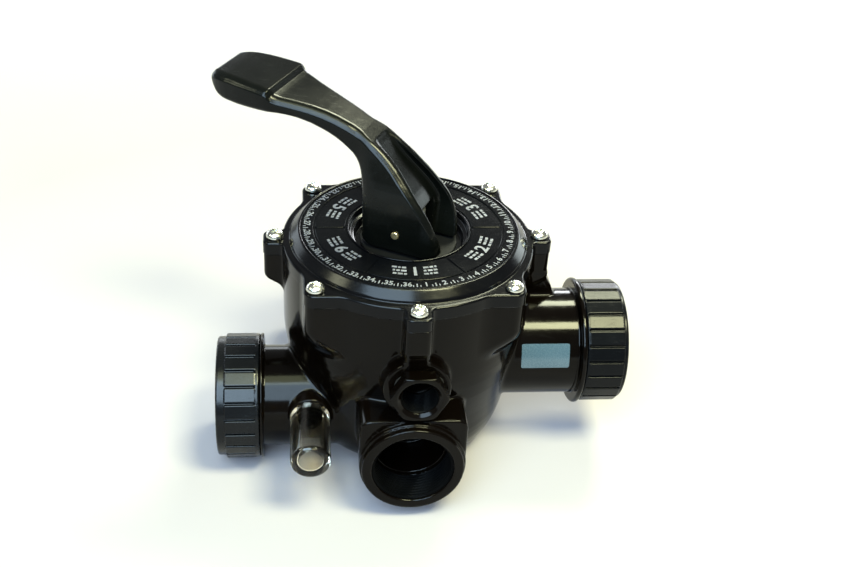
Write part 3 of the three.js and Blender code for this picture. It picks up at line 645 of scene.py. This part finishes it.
def sector(c, half, r0, r1, gap=0.0, n=18, rc=1.2):
    """Outline of a ring sector centred on angle c, drawn in by gap all round."""
    pts = []
    for r, way in ((r1 - gap, 1), (r0 + gap, -1)):
        h = math.radians(half) - math.asin(gap / r)
        for i in range(n + 1):
            a = math.radians(c) + way * (-h + 2 * h * i / n)
            pts.append((r * math.cos(a), r * math.sin(a)))
    k = [0.0] * len(pts)
    for i in (0, n, n + 1, 2 * n + 1):
        k[i] = rc
    return fillet(pts, k, step=25)


ring = fillet([(39.6, 153.25), (68.6, 153.25), (68.6, 153.95), (39.6, 153.95)], 0.15)
obj_of("dial_base", revolve("dial_base", ring, n=180), M_DIAL, "root", "dial_plate")
pads = [(sector(c, 30, 40.2, 60.2, 0.55), sector(c, 30, 40.2, 60.2, 0.75)) for c in (30, 90, 150, 210, 270, 330)]
pads += [(sector(c, 30, 60.9, 68.4, 0.0, rc=0), sector(c, 30, 60.9, 68.4, 0.0, rc=0)) for c in ()]
obj_of("dial_sectors", raised("dial_sectors", pads, 153.6, 154.55), M_DIAL, "root", ())
band = fillet([(60.9, 153.6), (68.45, 153.6), (68.45, 154.6), (60.9, 154.6)], [0, 0, 0.3, 0.3])
obj_of("dial_scale_band", revolve("dial_scale_band", band, n=180), M_DIAL, "root", ())


def glyph_mesh(text, height):
    """Flat outlines of a plain number, centred, as (vertices, faces) in millimetres."""
    cu = bpy.data.curves.new("g", "FONT")
    cu.body = text
    cu.size = 1.0
    cu.align_x = "CENTER"
    cu.resolution_u = 3
    cu.offset = 0.022
    cu.extrude = 0.02
    o = bpy.data.objects.new("g", cu)
    me = bpy.data.meshes.new_from_object(o)
    V = np.array([v.co for v in me.vertices], float).reshape(-1, 3)
    F = [list(p.vertices) for p in me.polygons]
    bpy.data.objects.remove(o)
    bpy.data.curves.remove(cu)
    bpy.data.meshes.remove(me)
    mid = (V.max(0) + V.min(0)) / 2
    V -= mid
    V *= height / (V[:, 1].max() - V[:, 1].min())
    return V, F


class Batch:
    def __init__(self):
        self.V, self.F = [], []

    def add(self, V, F):
        o = len(self.V)
        self.V += [tuple(v) for v in V]
        self.F += [[o + i for i in f] for f in F]

    def mesh(self, name, z0, z1):
        """Everything squeezed between z0 and z1."""
        V = np.array(self.V, float)
        V[:, 2] = np.where(V[:, 2] > 0, z1, z0)
        me = bpy.data.meshes.new(name)
        me.from_pydata([tuple(v * MM) for v in V], [], self.F)
        me.update()
        bm = bmesh.new()
        bm.from_mesh(me)
        bmesh.ops.remove_doubles(bm, verts=bm.verts, dist=2e-6)
        bmesh.ops.recalc_face_normals(bm, faces=bm.faces)
        bm.to_mesh(me)
        bm.free()
        me.shade_flat()
        return me


def on_arc(V, r, deg, bend=True):
    """Places flat outlines on the dial, heads towards the centre, bent to the arc."""
    a = math.radians(deg)
    out = np.empty_like(V)
    # x runs clockwise seen from above when the heads point inwards
    rr = r - V[:, 1]
    t = a + V[:, 0] / r
    out[:, 0] = rr * np.cos(t)
    out[:, 1] = rr * np.sin(t)
    out[:, 2] = V[:, 2]
    return out


def bar(w, h):
    V = np.array([(x, y, z) for z in (-0.02, 0.02) for y in (-h / 2, h / 2) for x in (-w / 2, 0.0, w / 2)], float)
    F = [[0, 3, 4, 1], [1, 4, 5, 2], [6, 7, 10, 9], [7, 8, 11, 10], [0, 1, 7, 6], [1, 2, 8, 7], [3, 9, 10, 4], [4, 10, 11, 5], [0, 6, 9, 3], [2, 5, 11, 8]]
    return V, F


ink = Batch()
for i in range(36):
    V, F = glyph_mesh(str(i + 1), 4.3)
    ink.add(on_arc(V, 64.8, -85 + 10 * i), F)
    for off, w, h in ((3.1, 0.55, 1.9), (5.0, 0.7, 3.3), (6.9, 0.55, 1.9)):
        V, F = bar(w, h)
        ink.add(on_arc(V, 67.3 - h / 2, -85 + 10 * i + off), F)
obj_of("dial_scale_print", ink.mesh("dial_scale_print", 154.5, 154.72), M_PRINT, "root", ())
ink = Batch()
LINES = ((2.6, 1.5, 3.1), (3.3, 2.2, 1.4), (1.8, 3.0, 2.3), (2.9, 1.6, 2.6))
for i, c in enumerate((270, 330, 30, 90, 150, 210)):
    V, F = glyph_mesh(str(i + 1), 9.0)
    ink.add(on_arc(V, 50.4, c), F)
    for side in (-1, 1):
        for q, r in enumerate((46.8, 50.2, 53.6)):
            words = LINES[(q + i + (side > 0)) % 4]
            x = 5.2
            for w in words:
                V, F = bar(w, 1.7)
                ink.add(on_arc(V, r, c + side * math.degrees((x + w / 2) / r)), F)
                x += w + 0.75
obj_of("dial_number_print", ink.mesh("dial_number_print", 154.45, 154.70), M_PRINT, "root", ())


# ------------------------------------------------------------------ screws
def screw_shape(X, Y, Z):
    rho = np.hypot(X, Y)
    d = disc(rho, Z, 5.7, 148.3, 158.0, 0.7)
    dome = np.sqrt(rho ** 2 + (Z - (153.1 - 6.9)) ** 2) - 6.9
    d = ri(d, dome, 0.9)
    a = np.minimum(box2(X, Z - 153.2, 3.1, 2.2, 0.2), np.abs(Y) * 0 + 1e3)
    cut = ru(np.maximum(box2(X, Y, 3.1 - 0.55 * (153.1 - Z), 0.75, 0.25), 150.6 - Z), np.maximum(box2(Y, X, 3.1 - 0.55 * (153.1 - Z), 0.75, 0.25), 150.6 - Z), 0.35)
    d = rs(d, cut, 0.22)
    return ru(d, disc(rho, Z, 2.4, 141.0, 150.0, 0.3), 0.3)


screw_me = carve("screw", screw_shape, (-6.6, -6.6, 140.2), (6.6, 6.6, 154.0), 0.26, faces=16000)
sp = np.empty(len(screw_me.vertices) * 3, np.float32)
screw_me.vertices.foreach_get("co", sp)
sp = sp.reshape(-1, 3)
for k in range(8):
    a = math.radians(45 * k)
    turn = math.radians([12, 71, 38, 4, 55, 80, 27, 63][k])
    me = screw_me.copy()
    me.name = "lid_screw_head_%d" % (k + 1)
    R = Matrix.Translation((0.085 * math.cos(a), 0.085 * math.sin(a), 0)) @ Matrix.Rotation(turn, 4, "Z")
    me.transform(R)
    obj_of("cross_recess_screw_%d" % (k + 1), me, M_STEEL, "root", "lid_screw_%d" % (k + 1))

# ------------------------------------------------------------------ handle
TOP = [(131.0, 80.5), (132.4, 84), (131.8, 88), (129.2, 90.2), (122, 91.0), (114, 91.0), (106, 90.4), (98, 89.7), (90, 88.9), (87.6, 88.5), (85.2, 85.2), (82, 84.0), (74, 82.4), (66, 80.8), (58, 79.1), (50, 76.9), (42, 74.1), (34, 70.8), (26, 66.7), (18, 62.1),
       (8, 54.6), (-1, 46.1), (-9.5, 36.7), (-18, 27.1), (-24, 17.9), (-27.6, 8), (-28.5, -0.5), (-28, -3.7)]
TOP_R = [3, 3, 3, 8, 90, 200, 200, 200, 60, 0.9, 1.3, 30, 200, 200, 200, 200, 200, 200, 200, 200, 200, 200, 200, 200, 200, 200, 3, 1.0]
TOE = []
for dgr in (0, 10, 20):
    t = math.radians(dgr)
    Hh = PIN_Z - 147 + 17.19 * t
    TOE.append((17.19 * math.cos(t) + Hh * math.sin(t), PIN_Z + 17.19 * math.sin(t) - Hh * math.cos(t) + 0.3 - 151))
UNDER = [(25.6, -1), (26, 1), (26.3, 22), (27.2, 38), (29.5, 46.5), (34, 53), (42, 59.6), (50, 64.2), (58, 67.6), (66, 70.5), (74, 72.5), (82, 73.6), (90, 73.5), (98, 73.2), (106, 73.1), (114, 73.3), (122, 73.9), (127, 75.8)]
SIDE = fillet([(x, z + 151) for x, z in TOP + TOE + UNDER], TOP_R + [2, 8, 6] + [1, 1] + [200] * 16)
P_SIDE = Plane(SIDE, h=0.3)
HALF = [(-6, 12.6), (12, 12.6), (26, 12.9), (34, 13.6), (42, 14.4), (50, 15.2), (58, 16.7), (66, 18.9), (74, 21.8), (82, 24.8), (87, 26.2), (92, 26.3), (98, 25.8), (106, 25.2), (114, 24.3), (122, 22.6), (128, 20.2), (132.6, 16)]
P_ARM = Plane(fillet([(x, -w) for x, w in HALF] + [(x, w) for x, w in reversed(HALF)], [0] + [200] * 16 + [4.5] + [4.5] + [200] * 16 + [0]), h=0.3)
ENDW = [(-3.7, 23.4), (0, 24), (10, 24), (20, 23.5), (28, 22.8), (35, 21.7), (40, 20.4), (45, 18.7), (52, 15.9), (58, 13.6), (64, 12.3), (80, 12.2)]
P_END = Plane(fillet([(w, z + 151) for z, w in ENDW] + [(-w, z + 151) for z, w in reversed(ENDW)], [1] + [200] * 10 + [0, 0] + [200] * 10 + [1]), h=0.3)
P_POCK = Plane(fillet([(21, 240), (21, 63.4 + 151), (12, 52 + 151), (2, 40.5 + 151), (-6, 31 + 151), (-12.5, 22 + 151), (-12.6, 130), (-60, 130), (-60, 240)], [0, 4, 60, 60, 40, 12, 0, 0, 0]), h=0.3)
WIN = [(-20, 10.6), (-2, 10.6), (12, 15), (22, 17), (35, 15.5), (42, 13.2), (50, 10.5), (62, 8), (95, 7.8)]
P_WIN = Plane(fillet([(w, z + 151) for z, w in WIN] + [(-w, z + 151) for z, w in reversed(WIN)], [0] + [60] * 7 + [0, 0] + [60] * 7 + [0]), h=0.3)


TOP_S = [p[0] for p in reversed(TOP[4:])]
TOP_Z = [p[1] for p in reversed(TOP[4:])]


def handle_shape(S, W, Z):
    low = np.clip(238.0 - Z, 0, 30)
    arm = P_ARM(S, W) + np.clip((S - 55) / 30, 0, 1) * 0.10 * low
    end = ri(P_END(W, Z), box2(S + 1.0, W, 28.0, 24.0, 14.0), 5.0)
    side = P_SIDE(S, Z)
    lateral = ru(arm, end, 8.0)
    far = np.clip((S - 20) / 60, 0, 1)
    back = np.interp(S, TOP_S, TOP_Z) + 151
    upper = np.clip((Z - (back - 5.5)) / 3, 0, 1)
    d = ri(side, lateral, 3.2 + 2.4 * upper + 0.4 * far * upper)
    pocket = ri(P_POCK(S, Z), P_WIN(W, Z), 2.5)
    d = rs(d, pocket, 1.6)
    slot = np.maximum(box2(S - 1.35, W, 14.85, 10.6, 1.0), Z - 174.0)
    d = rs(d, slot, 0.8)
    d = rs(d, np.hypot(S, Z - PIN_Z) - 2.85, 0.5)
    return d


obj_of("lever_handle", carve("lever_handle", handle_shape, (-31, -28, 145), (135, 28, 244), 0.75, faces=170000, place=Matrix.Rotation(TH, 4, "Z")), M_HANDLE, "handle", "handle")

pin = revolve("pivot_pin", fillet([(0, -23.6), (2.5, -23.6), (2.5, 23.6), (0, 23.6)], [0, 0.5, 0.5, 0], closed=False), "Y", (0, 0, PIN_Z), n=40, closed=False)
pin.transform(Matrix.Rotation(TH, 4, "Z"))
obj_of("pivot_pin", pin, M_PIN, "diverter", "handle_pin")


# ------------------------------------------------------------------ diverter spring: one coil of fixed length, though the real spring gets shorter as the rotor lifts
def coil_mesh():
    n, m, turns, r = 300, 14, 5.5, 1.5
    t = np.linspace(0, 1, n + 1)
    a = 2 * math.pi * turns * t
    # closed end coils, then an even pitch between them
    rise = np.interp(t * turns, [0, 0.75, turns - 0.75, turns], [0, 2.4, 29.7, 32.1])
    C = np.stack([20.5 * np.cos(a), 20.5 * np.sin(a), 104.75 + rise], 1)
    T = np.gradient(C, axis=0)
    T /= np.linalg.norm(T, axis=1)[:, None]
    N = np.stack([np.cos(a), np.sin(a), 0 * a], 1)
    N -= T * (N * T).sum(1)[:, None]
    N /= np.linalg.norm(N, axis=1)[:, None]
    B = np.cross(T, N)
    P = [C[i] + r * (math.cos(b) * N[i] + math.sin(b) * B[i]) for i in range(n + 1) for b in np.arange(m) * 2 * math.pi / m]
    F = []
    for i in range(n):
        for j in range(m):
            k, q, w, e = i * m + j, i * m + (j + 1) % m, (i + 1) * m + (j + 1) % m, (i + 1) * m + j
            F += [(k, q, w), (k, w, e)]
    last = n * m
    P += [C[0], C[-1]]
    for j in range(m):
        F += [(len(P) - 2, (j + 1) % m, j), (len(P) - 1, last + j, last + (j + 1) % m)]
    me = new_mesh("spring_coil", np.array(P), F)
    me.shade_smooth()
    me.set_sharp_from_angle(angle=math.radians(50))
    return me


coil = obj_of("spring_coil", coil_mesh(), M_SPRING, "root", "diverter_spring")
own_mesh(coil)

# ------------------------------------------------------------------ unions
def nut_shape(L, p0, p1):
    def f(X, Y, Z):
        rho = np.hypot(Y, Z)
        p = 2 * math.pi / 24
        a = (((np.arctan2(Z, Y) / p) + 0.5) % 1.0 - 0.5) * p   # angle from the middle of the nearest pad
        u, v = rho * np.abs(np.sin(a)), rho * np.cos(a)
        core = disc(rho, X, 39.1, 0, L, 1.5)
        band = disc(rho, X, 40.7, 0, p0 + 0.6, 1.1)
        pad = ri(ri(v - 40.75, u - 4.55, 0.65), np.abs(X - (L - p1 + p0) / 2) - (L - p1 - p0) / 2, 0.7)
        d = ru(ru(core, np.maximum(pad, 37.0 - rho), 0.35), band, 0.4)
        d = rs(d, disc(rho, X, 34.7, -5, L - 4.4, 0.4), 0.6)
        d = rs(d, disc(rho, X, 29.3, -5, L + 5, 0.3), 0.9)
        return d
    return f


for side, P, nm, body, node, pads, phase in ((1, PUMP, "pump_ring_nut", "pump_nut", "pump_union_nut", (1.1, 2.9), 7.5), (-1, WASTE, "waste_ring_nut", "waste_nut", "waste_union_nut", (2.4, 5.7), 8.5)):
    NUT_L = P["end"] - P["c1"] - 0.3
    me = carve(nm, nut_shape(NUT_L, *pads), (-1.5, -42.5, -42.5), (NUT_L + 1.5, 42.5, 42.5), 0.72, faces=90000)
    place = Matrix.Translation((side * (P["c1"] + 0.3) * MM, P["y"] * MM, P["z"] * MM)) @ (Matrix.Identity(4) if side > 0 else Matrix.Rotation(math.pi, 4, "Z")) @ Matrix.Rotation(math.radians(phase), 4, "X")
    me.transform(place)
    obj_of(nm, me, M_NUT_PUMP if side > 0 else M_NUT, body, node)
    f0, f1, x1 = P["stub"] + 0.3, P["end"] - 4.7, P["end"]
    tail = revolve(nm + "_tail", fillet([(22, P["stub"] - 16), (28.1, P["stub"] - 16), (28.1, f0), (33.8, f0), (33.8, f1), (28.6, f1), (28.6, x1 - 0.4), (24.15, x1 - 0.4), (24.15, P["stub"] - 14), (22, P["stub"] - 14)],
                                          [0.6, 0.6, 0, 0.4, 0.4, 0.3, 0.8, 0.9, 0.3, 0.5]), "X", n=120)
    tail.transform(Matrix.Translation((0, P["y"] * MM, P["z"] * MM)) @ (Matrix.Identity(4) if side > 0 else Matrix.Rotation(math.pi, 4, "Z")))
    obj_of(("pump" if side > 0 else "waste") + "_tail_piece", tail, M_NUT, ("pump" if side > 0 else "waste") + "_tail", ("pump" if side > 0 else "waste") + "_union_tail")


# ------------------------------------------------------------------ gauge bush and sight glass
def hex_shape(X, Y, Z):
    x, z = X - GX, Z - GZ
    rho = np.hypot(x, z)
    flat = np.maximum(np.abs(z), np.maximum(np.abs(z * 0.5 + x * 0.8660254), np.abs(z * 0.5 - x * 0.8660254))) - 18.3 * 0.8660254
    d = ri(flat, np.abs(Y + 95.3) - 4.7, 0.7)
    # turned chamfer on the front corners of the hexagon
    d = ri(d, (rho - 16.6 - (Y + 100.0) * 1.6) * 0.53, 0.5)
    d = ru(d, disc(rho, Y, 13.4, -93, -77, 0.5), 0.3)
    bore = disc(rho, Y, 11.5, -120, -77.8, 0.3)
    cone = (rho - (13.8 - (Y + 100.0) * 1.2)) * 0.64
    d = rs(d, np.minimum(bore, np.maximum(cone, Y + 97.0)), 0.35)
    return d


obj_of("gauge_bush_hex", carve("gauge_bush_hex", hex_shape, (GX - 19.5, -101, GZ - 19.5), (GX + 19.5, -76, GZ + 19.5), 0.5, faces=60000), M_BODY, "root", "gauge_port_bush")
obj_of("gauge_bush_thread", screw_ring("gauge_bush_thread", "Y", (GX, 0, GZ), -97.6, -79.5, 12.1, 11.4, 0.75, 1.337, outside=False, n=80), M_BORE, "root", ())

glass = fillet([(8.35, -60.9), (12.3, -60.9), (12.6, -62.0), (12.6, -105.0), (0, -105.0)], [0.3, 0.4, 0.6, 3.4, 0], closed=False, step=9)
inner = fillet([(0, -101.4), (8.4, -101.4), (8.35, -60.9)], [0, 1.6, 0], closed=False, step=12)
obj_of("sight_glass_cup", revolve("sight_glass_cup", [(0, -105.0)] + list(reversed(glass[:-1])) + list(reversed(inner[1:-1])) + [(0, -101.4)], "Y", (SX, 0, SZ), n=96, closed=False, sharp=40), M_CLEAR, "root", "sight_glass")


# ------------------------------------------------------------------ label
def label_mesh():
    R0, R1 = 35.62, 35.95
    x0, x1, a0, a1, rc = 73.2, 104.8, 147.3, 173.7, 1.3
    s0, s1 = math.radians(a0) * R1, math.radians(a1) * R1
    loop = fillet([(x0, s0), (x1, s0), (x1, s1), (x0, s1)], rc, step=15)
    nx, ns = 48, 24
    # grid of the whole film, with its corners drawn onto the rounded outline
    V, F = [], []
    for R in (R1, R0):
        for i in range(nx + 1):
            for j in range(ns + 1):
                x, s = x0 + (x1 - x0) * i / nx, s0 + (s1 - s0) * j / ns
                cx, cs = min(max(x, x0 + rc), x1 - rc), min(max(s, s0 + rc), s1 - rc)
                dx, ds = x - cx, s - cs
                if dx and ds:
                    k = max(abs(dx), abs(ds)) / math.hypot(dx, ds)
                    dx, ds = dx * k, ds * k
                x, a = cx + dx, (cs + ds) / R1
                V.append((x, PUMP["y"] + R * math.cos(a), PUMP["z"] + R * math.sin(a)))
    n = (nx + 1) * (ns + 1)
    q = lambda i, j, o: o + i * (ns + 1) + j
    for i in range(nx):
        for j in range(ns):
            F.append([q(i, j, 0), q(i + 1, j, 0), q(i + 1, j + 1, 0), q(i, j + 1, 0)])
            F.append([q(i, j, n), q(i, j + 1, n), q(i + 1, j + 1, n), q(i + 1, j, n)])
    for i in range(nx):
        F.append([q(i, 0, 0), q(i, 0, n), q(i + 1, 0, n), q(i + 1, 0, 0)])
        F.append([q(i, ns, 0), q(i + 1, ns, 0), q(i + 1, ns, n), q(i, ns, n)])
    for j in range(ns):
        F.append([q(0, j, 0), q(0, j + 1, 0), q(0, j + 1, n), q(0, j, n)])
        F.append([q(nx, j, 0), q(nx, j, n), q(nx, j + 1, n), q(nx, j + 1, 0)])
    me = bpy.data.meshes.new("label_patch")
    me.from_pydata([tuple(c * MM for c in v) for v in V], [], F)
    me.update()
    bm = bmesh.new()
    bm.from_mesh(me)
    bmesh.ops.recalc_face_normals(bm, faces=bm.faces)
    bm.to_mesh(me)
    bm.free()
    me.shade_smooth()
    me.set_sharp_from_angle(angle=math.radians(35))
    return me


obj_of("label_patch", label_mesh(), M_LABEL, "root", "blank_label")

# ------------------------------------------------------------------ CAD nodes that stay, with their own finishes
for node, mat in (("diverter", M_GREY), ("stem_seal_lower", M_RUBBER), ("stem_seal_upper", M_RUBBER), ("spring_washer", M_WASHER), ("handle_washer", M_WASHER), ("seat_gasket", M_RUBBER),
                  ("lid_seal_ring", M_RUBBER), ("pump_union_seal", M_RUBBER), ("waste_union_seal", M_RUBBER), ("gauge_port_seal", M_RUBBER), ("sight_glass_seal", M_RUBBER)):
    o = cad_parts[node]
    if not o.material_slots:
        o.data.materials.append(mat)
    for s in o.material_slots:
        s.material = mat

# ------------------------------------------------------------------ floor
fm, fnt, fb, fv = principled("floor_painted_light_by_distance")
fn = noise(fnt, fv, 3, 4, 0.5)
far = fnt.nodes.new("ShaderNodeVectorMath")
far.operation = "LENGTH"
fnt.links.new(fv, far.inputs[0])
# The floor colour is painted light. It is dark near the object, where the lamps are strong, and bright beyond, where
# the lamps don't reach, so the whole floor renders evenly pale.
near = mix_colour(fnt, remap(fnt, fn, 0.35, 0.65, 0, 1), (0.252, 0.238, 0.254), (0.265, 0.251, 0.267))
fnt.links.new(mix_colour(fnt, remap(fnt, far.outputs["Value"], 0.45, 2.4, 0, 1), near, (0.80, 0.79, 0.80)), fb.inputs["Base Color"])
fb.inputs["Roughness"].default_value = 0.85
fb.inputs["Specular IOR Level"].default_value = 0.1
bm = bmesh.new()
bmesh.ops.create_grid(bm, x_segments=8, y_segments=8, size=6.0)
me = bpy.data.meshes.new("floor")
bm.to_mesh(me)
bm.free()
me.materials.append(fm)
floor = bpy.data.objects.new("floor", me)
floor.location = (0, 0, -0.0004)
scene.collection.objects.link(floor)


# ------------------------------------------------------------------ light
world = bpy.data.worlds.new("studio")
scene.world = world
world.use_nodes = True
bg = world.node_tree.nodes["Background"]
bg.inputs[0].default_value = (0.94, 0.97, 1.0, 1)
bg.inputs[1].default_value = 0.32


def panel(name, at, way, dist, wide, tall, level, colour):
    """Rectangular soft light seen from a point in a direction: wide runs along the part's X, level is its brightness."""
    z = Vector(way).normalized()
    x = (Vector((1, 0, 0)) - z * z.x).normalized()
    y = z.cross(x)
    p = Vector(at) + z * dist
    li = bpy.data.lights.new(name, "AREA")
    li.shape = "RECTANGLE"
    li.size, li.size_y = wide, tall
    li.energy = level * math.pi * wide * tall
    li.color = colour
    o = bpy.data.objects.new(name, li)
    o.matrix_world = Matrix(((x.x, y.x, z.x, p.x), (x.y, y.y, z.y, p.y), (x.z, y.z, z.z, p.z), (0, 0, 0, 1)))
    o.visible_camera = False
    scene.collection.objects.link(o)
    return o


panel("window_front", (-0.08, -0.03, 0.10), (-0.24, -0.72, 0.70), 1.5, 0.95, 1.15, 18.0, (0.58, 0.80, 1.0))
panel("strip_front", (0.10, -0.03, 0.10), (0.23, -0.38, 0.90), 1.3, 0.50, 0.33, 84.0, (1.0, 1.0, 0.60))
panel("strip_back", (0.10, -0.03, 0.10), (0.23, 0.54, 0.80), 1.3, 0.50, 0.31, 62.0, (0.97, 1.0, 0.72))
panel("wall_back", (0.08, 0.0, 0.10), (0.36, 0.90, 0.22), 1.5, 0.60, 0.30, 19.0, (0.95, 0.98, 1.0))
panel("wall_far", (0.0, 0.0, 0.12), (-0.10, 0.98, 0.10), 1.5, 1.0, 0.30, 4.0, (0.90, 0.97, 1.0))
panel("wall_left", (-0.05, 0.0, 0.10), (-0.72, 0.68, 0.17), 1.5, 0.9, 0.5, 3.6, (0.80, 0.92, 1.0))
panel("wall_right", (0.07, -0.02, 0.15), (0.76, 0.64, 0.10), 1.25, 0.55, 0.34, 7.0, (0.88, 1.0, 1.0))
panel("strip_far", (-0.10, -0.03, 0.08), (-0.03, -0.34, 0.94), 1.3, 0.35, 0.5, 8.0, (0.92, 1.0, 0.62))
panel("strip_left", (-0.05, -0.05, 0.15), (-0.75, -0.12, 0.65), 1.3, 0.28, 0.28, 19.0, (0.98, 1.0, 0.70))

scene.view_settings.view_transform = "Standard"
scene.view_settings.look = "None"
scene.view_settings.exposure = 0.0
scene.view_settings.gamma = 1.0

# ------------------------------------------------------------------ camera
az, el, roll = math.radians(-7.02), math.radians(34.04), math.radians(3.63)
back = np.array([math.sin(az) * math.cos(el), -math.cos(az) * math.cos(el), math.sin(el)])
right = np.array([math.cos(az), math.sin(az), 0.0])
up = np.cross(back, right)
cr, sr = math.cos(roll), math.sin(roll)
r1, u1 = cr * right + sr * up, -sr * right + cr * up
cam = bpy.data.cameras.new("camera")
cam.sensor_fit = "HORIZONTAL"
cam.sensor_width = 36.0
cam.lens = 1211.45 / 850 * 36.0
co = bpy.data.objects.new("camera", cam)
target = (-10.5 * 1.0, 32.73)
loc = np.array([0.0, 0.0, 151.0]) + 774.87 * back - target[0] * r1 - target[1] * u1
co.matrix_world = Matrix(((r1[0], u1[0], back[0], loc[0] * MM), (r1[1], u1[1], back[1], loc[1] * MM), (r1[2], u1[2], back[2], loc[2] * MM), (0, 0, 0, 1)))
cam.clip_start = 0.01
scene.collection.objects.link(co)
scene.camera = co
print("camera at", [round(float(v), 2) for v in loc])
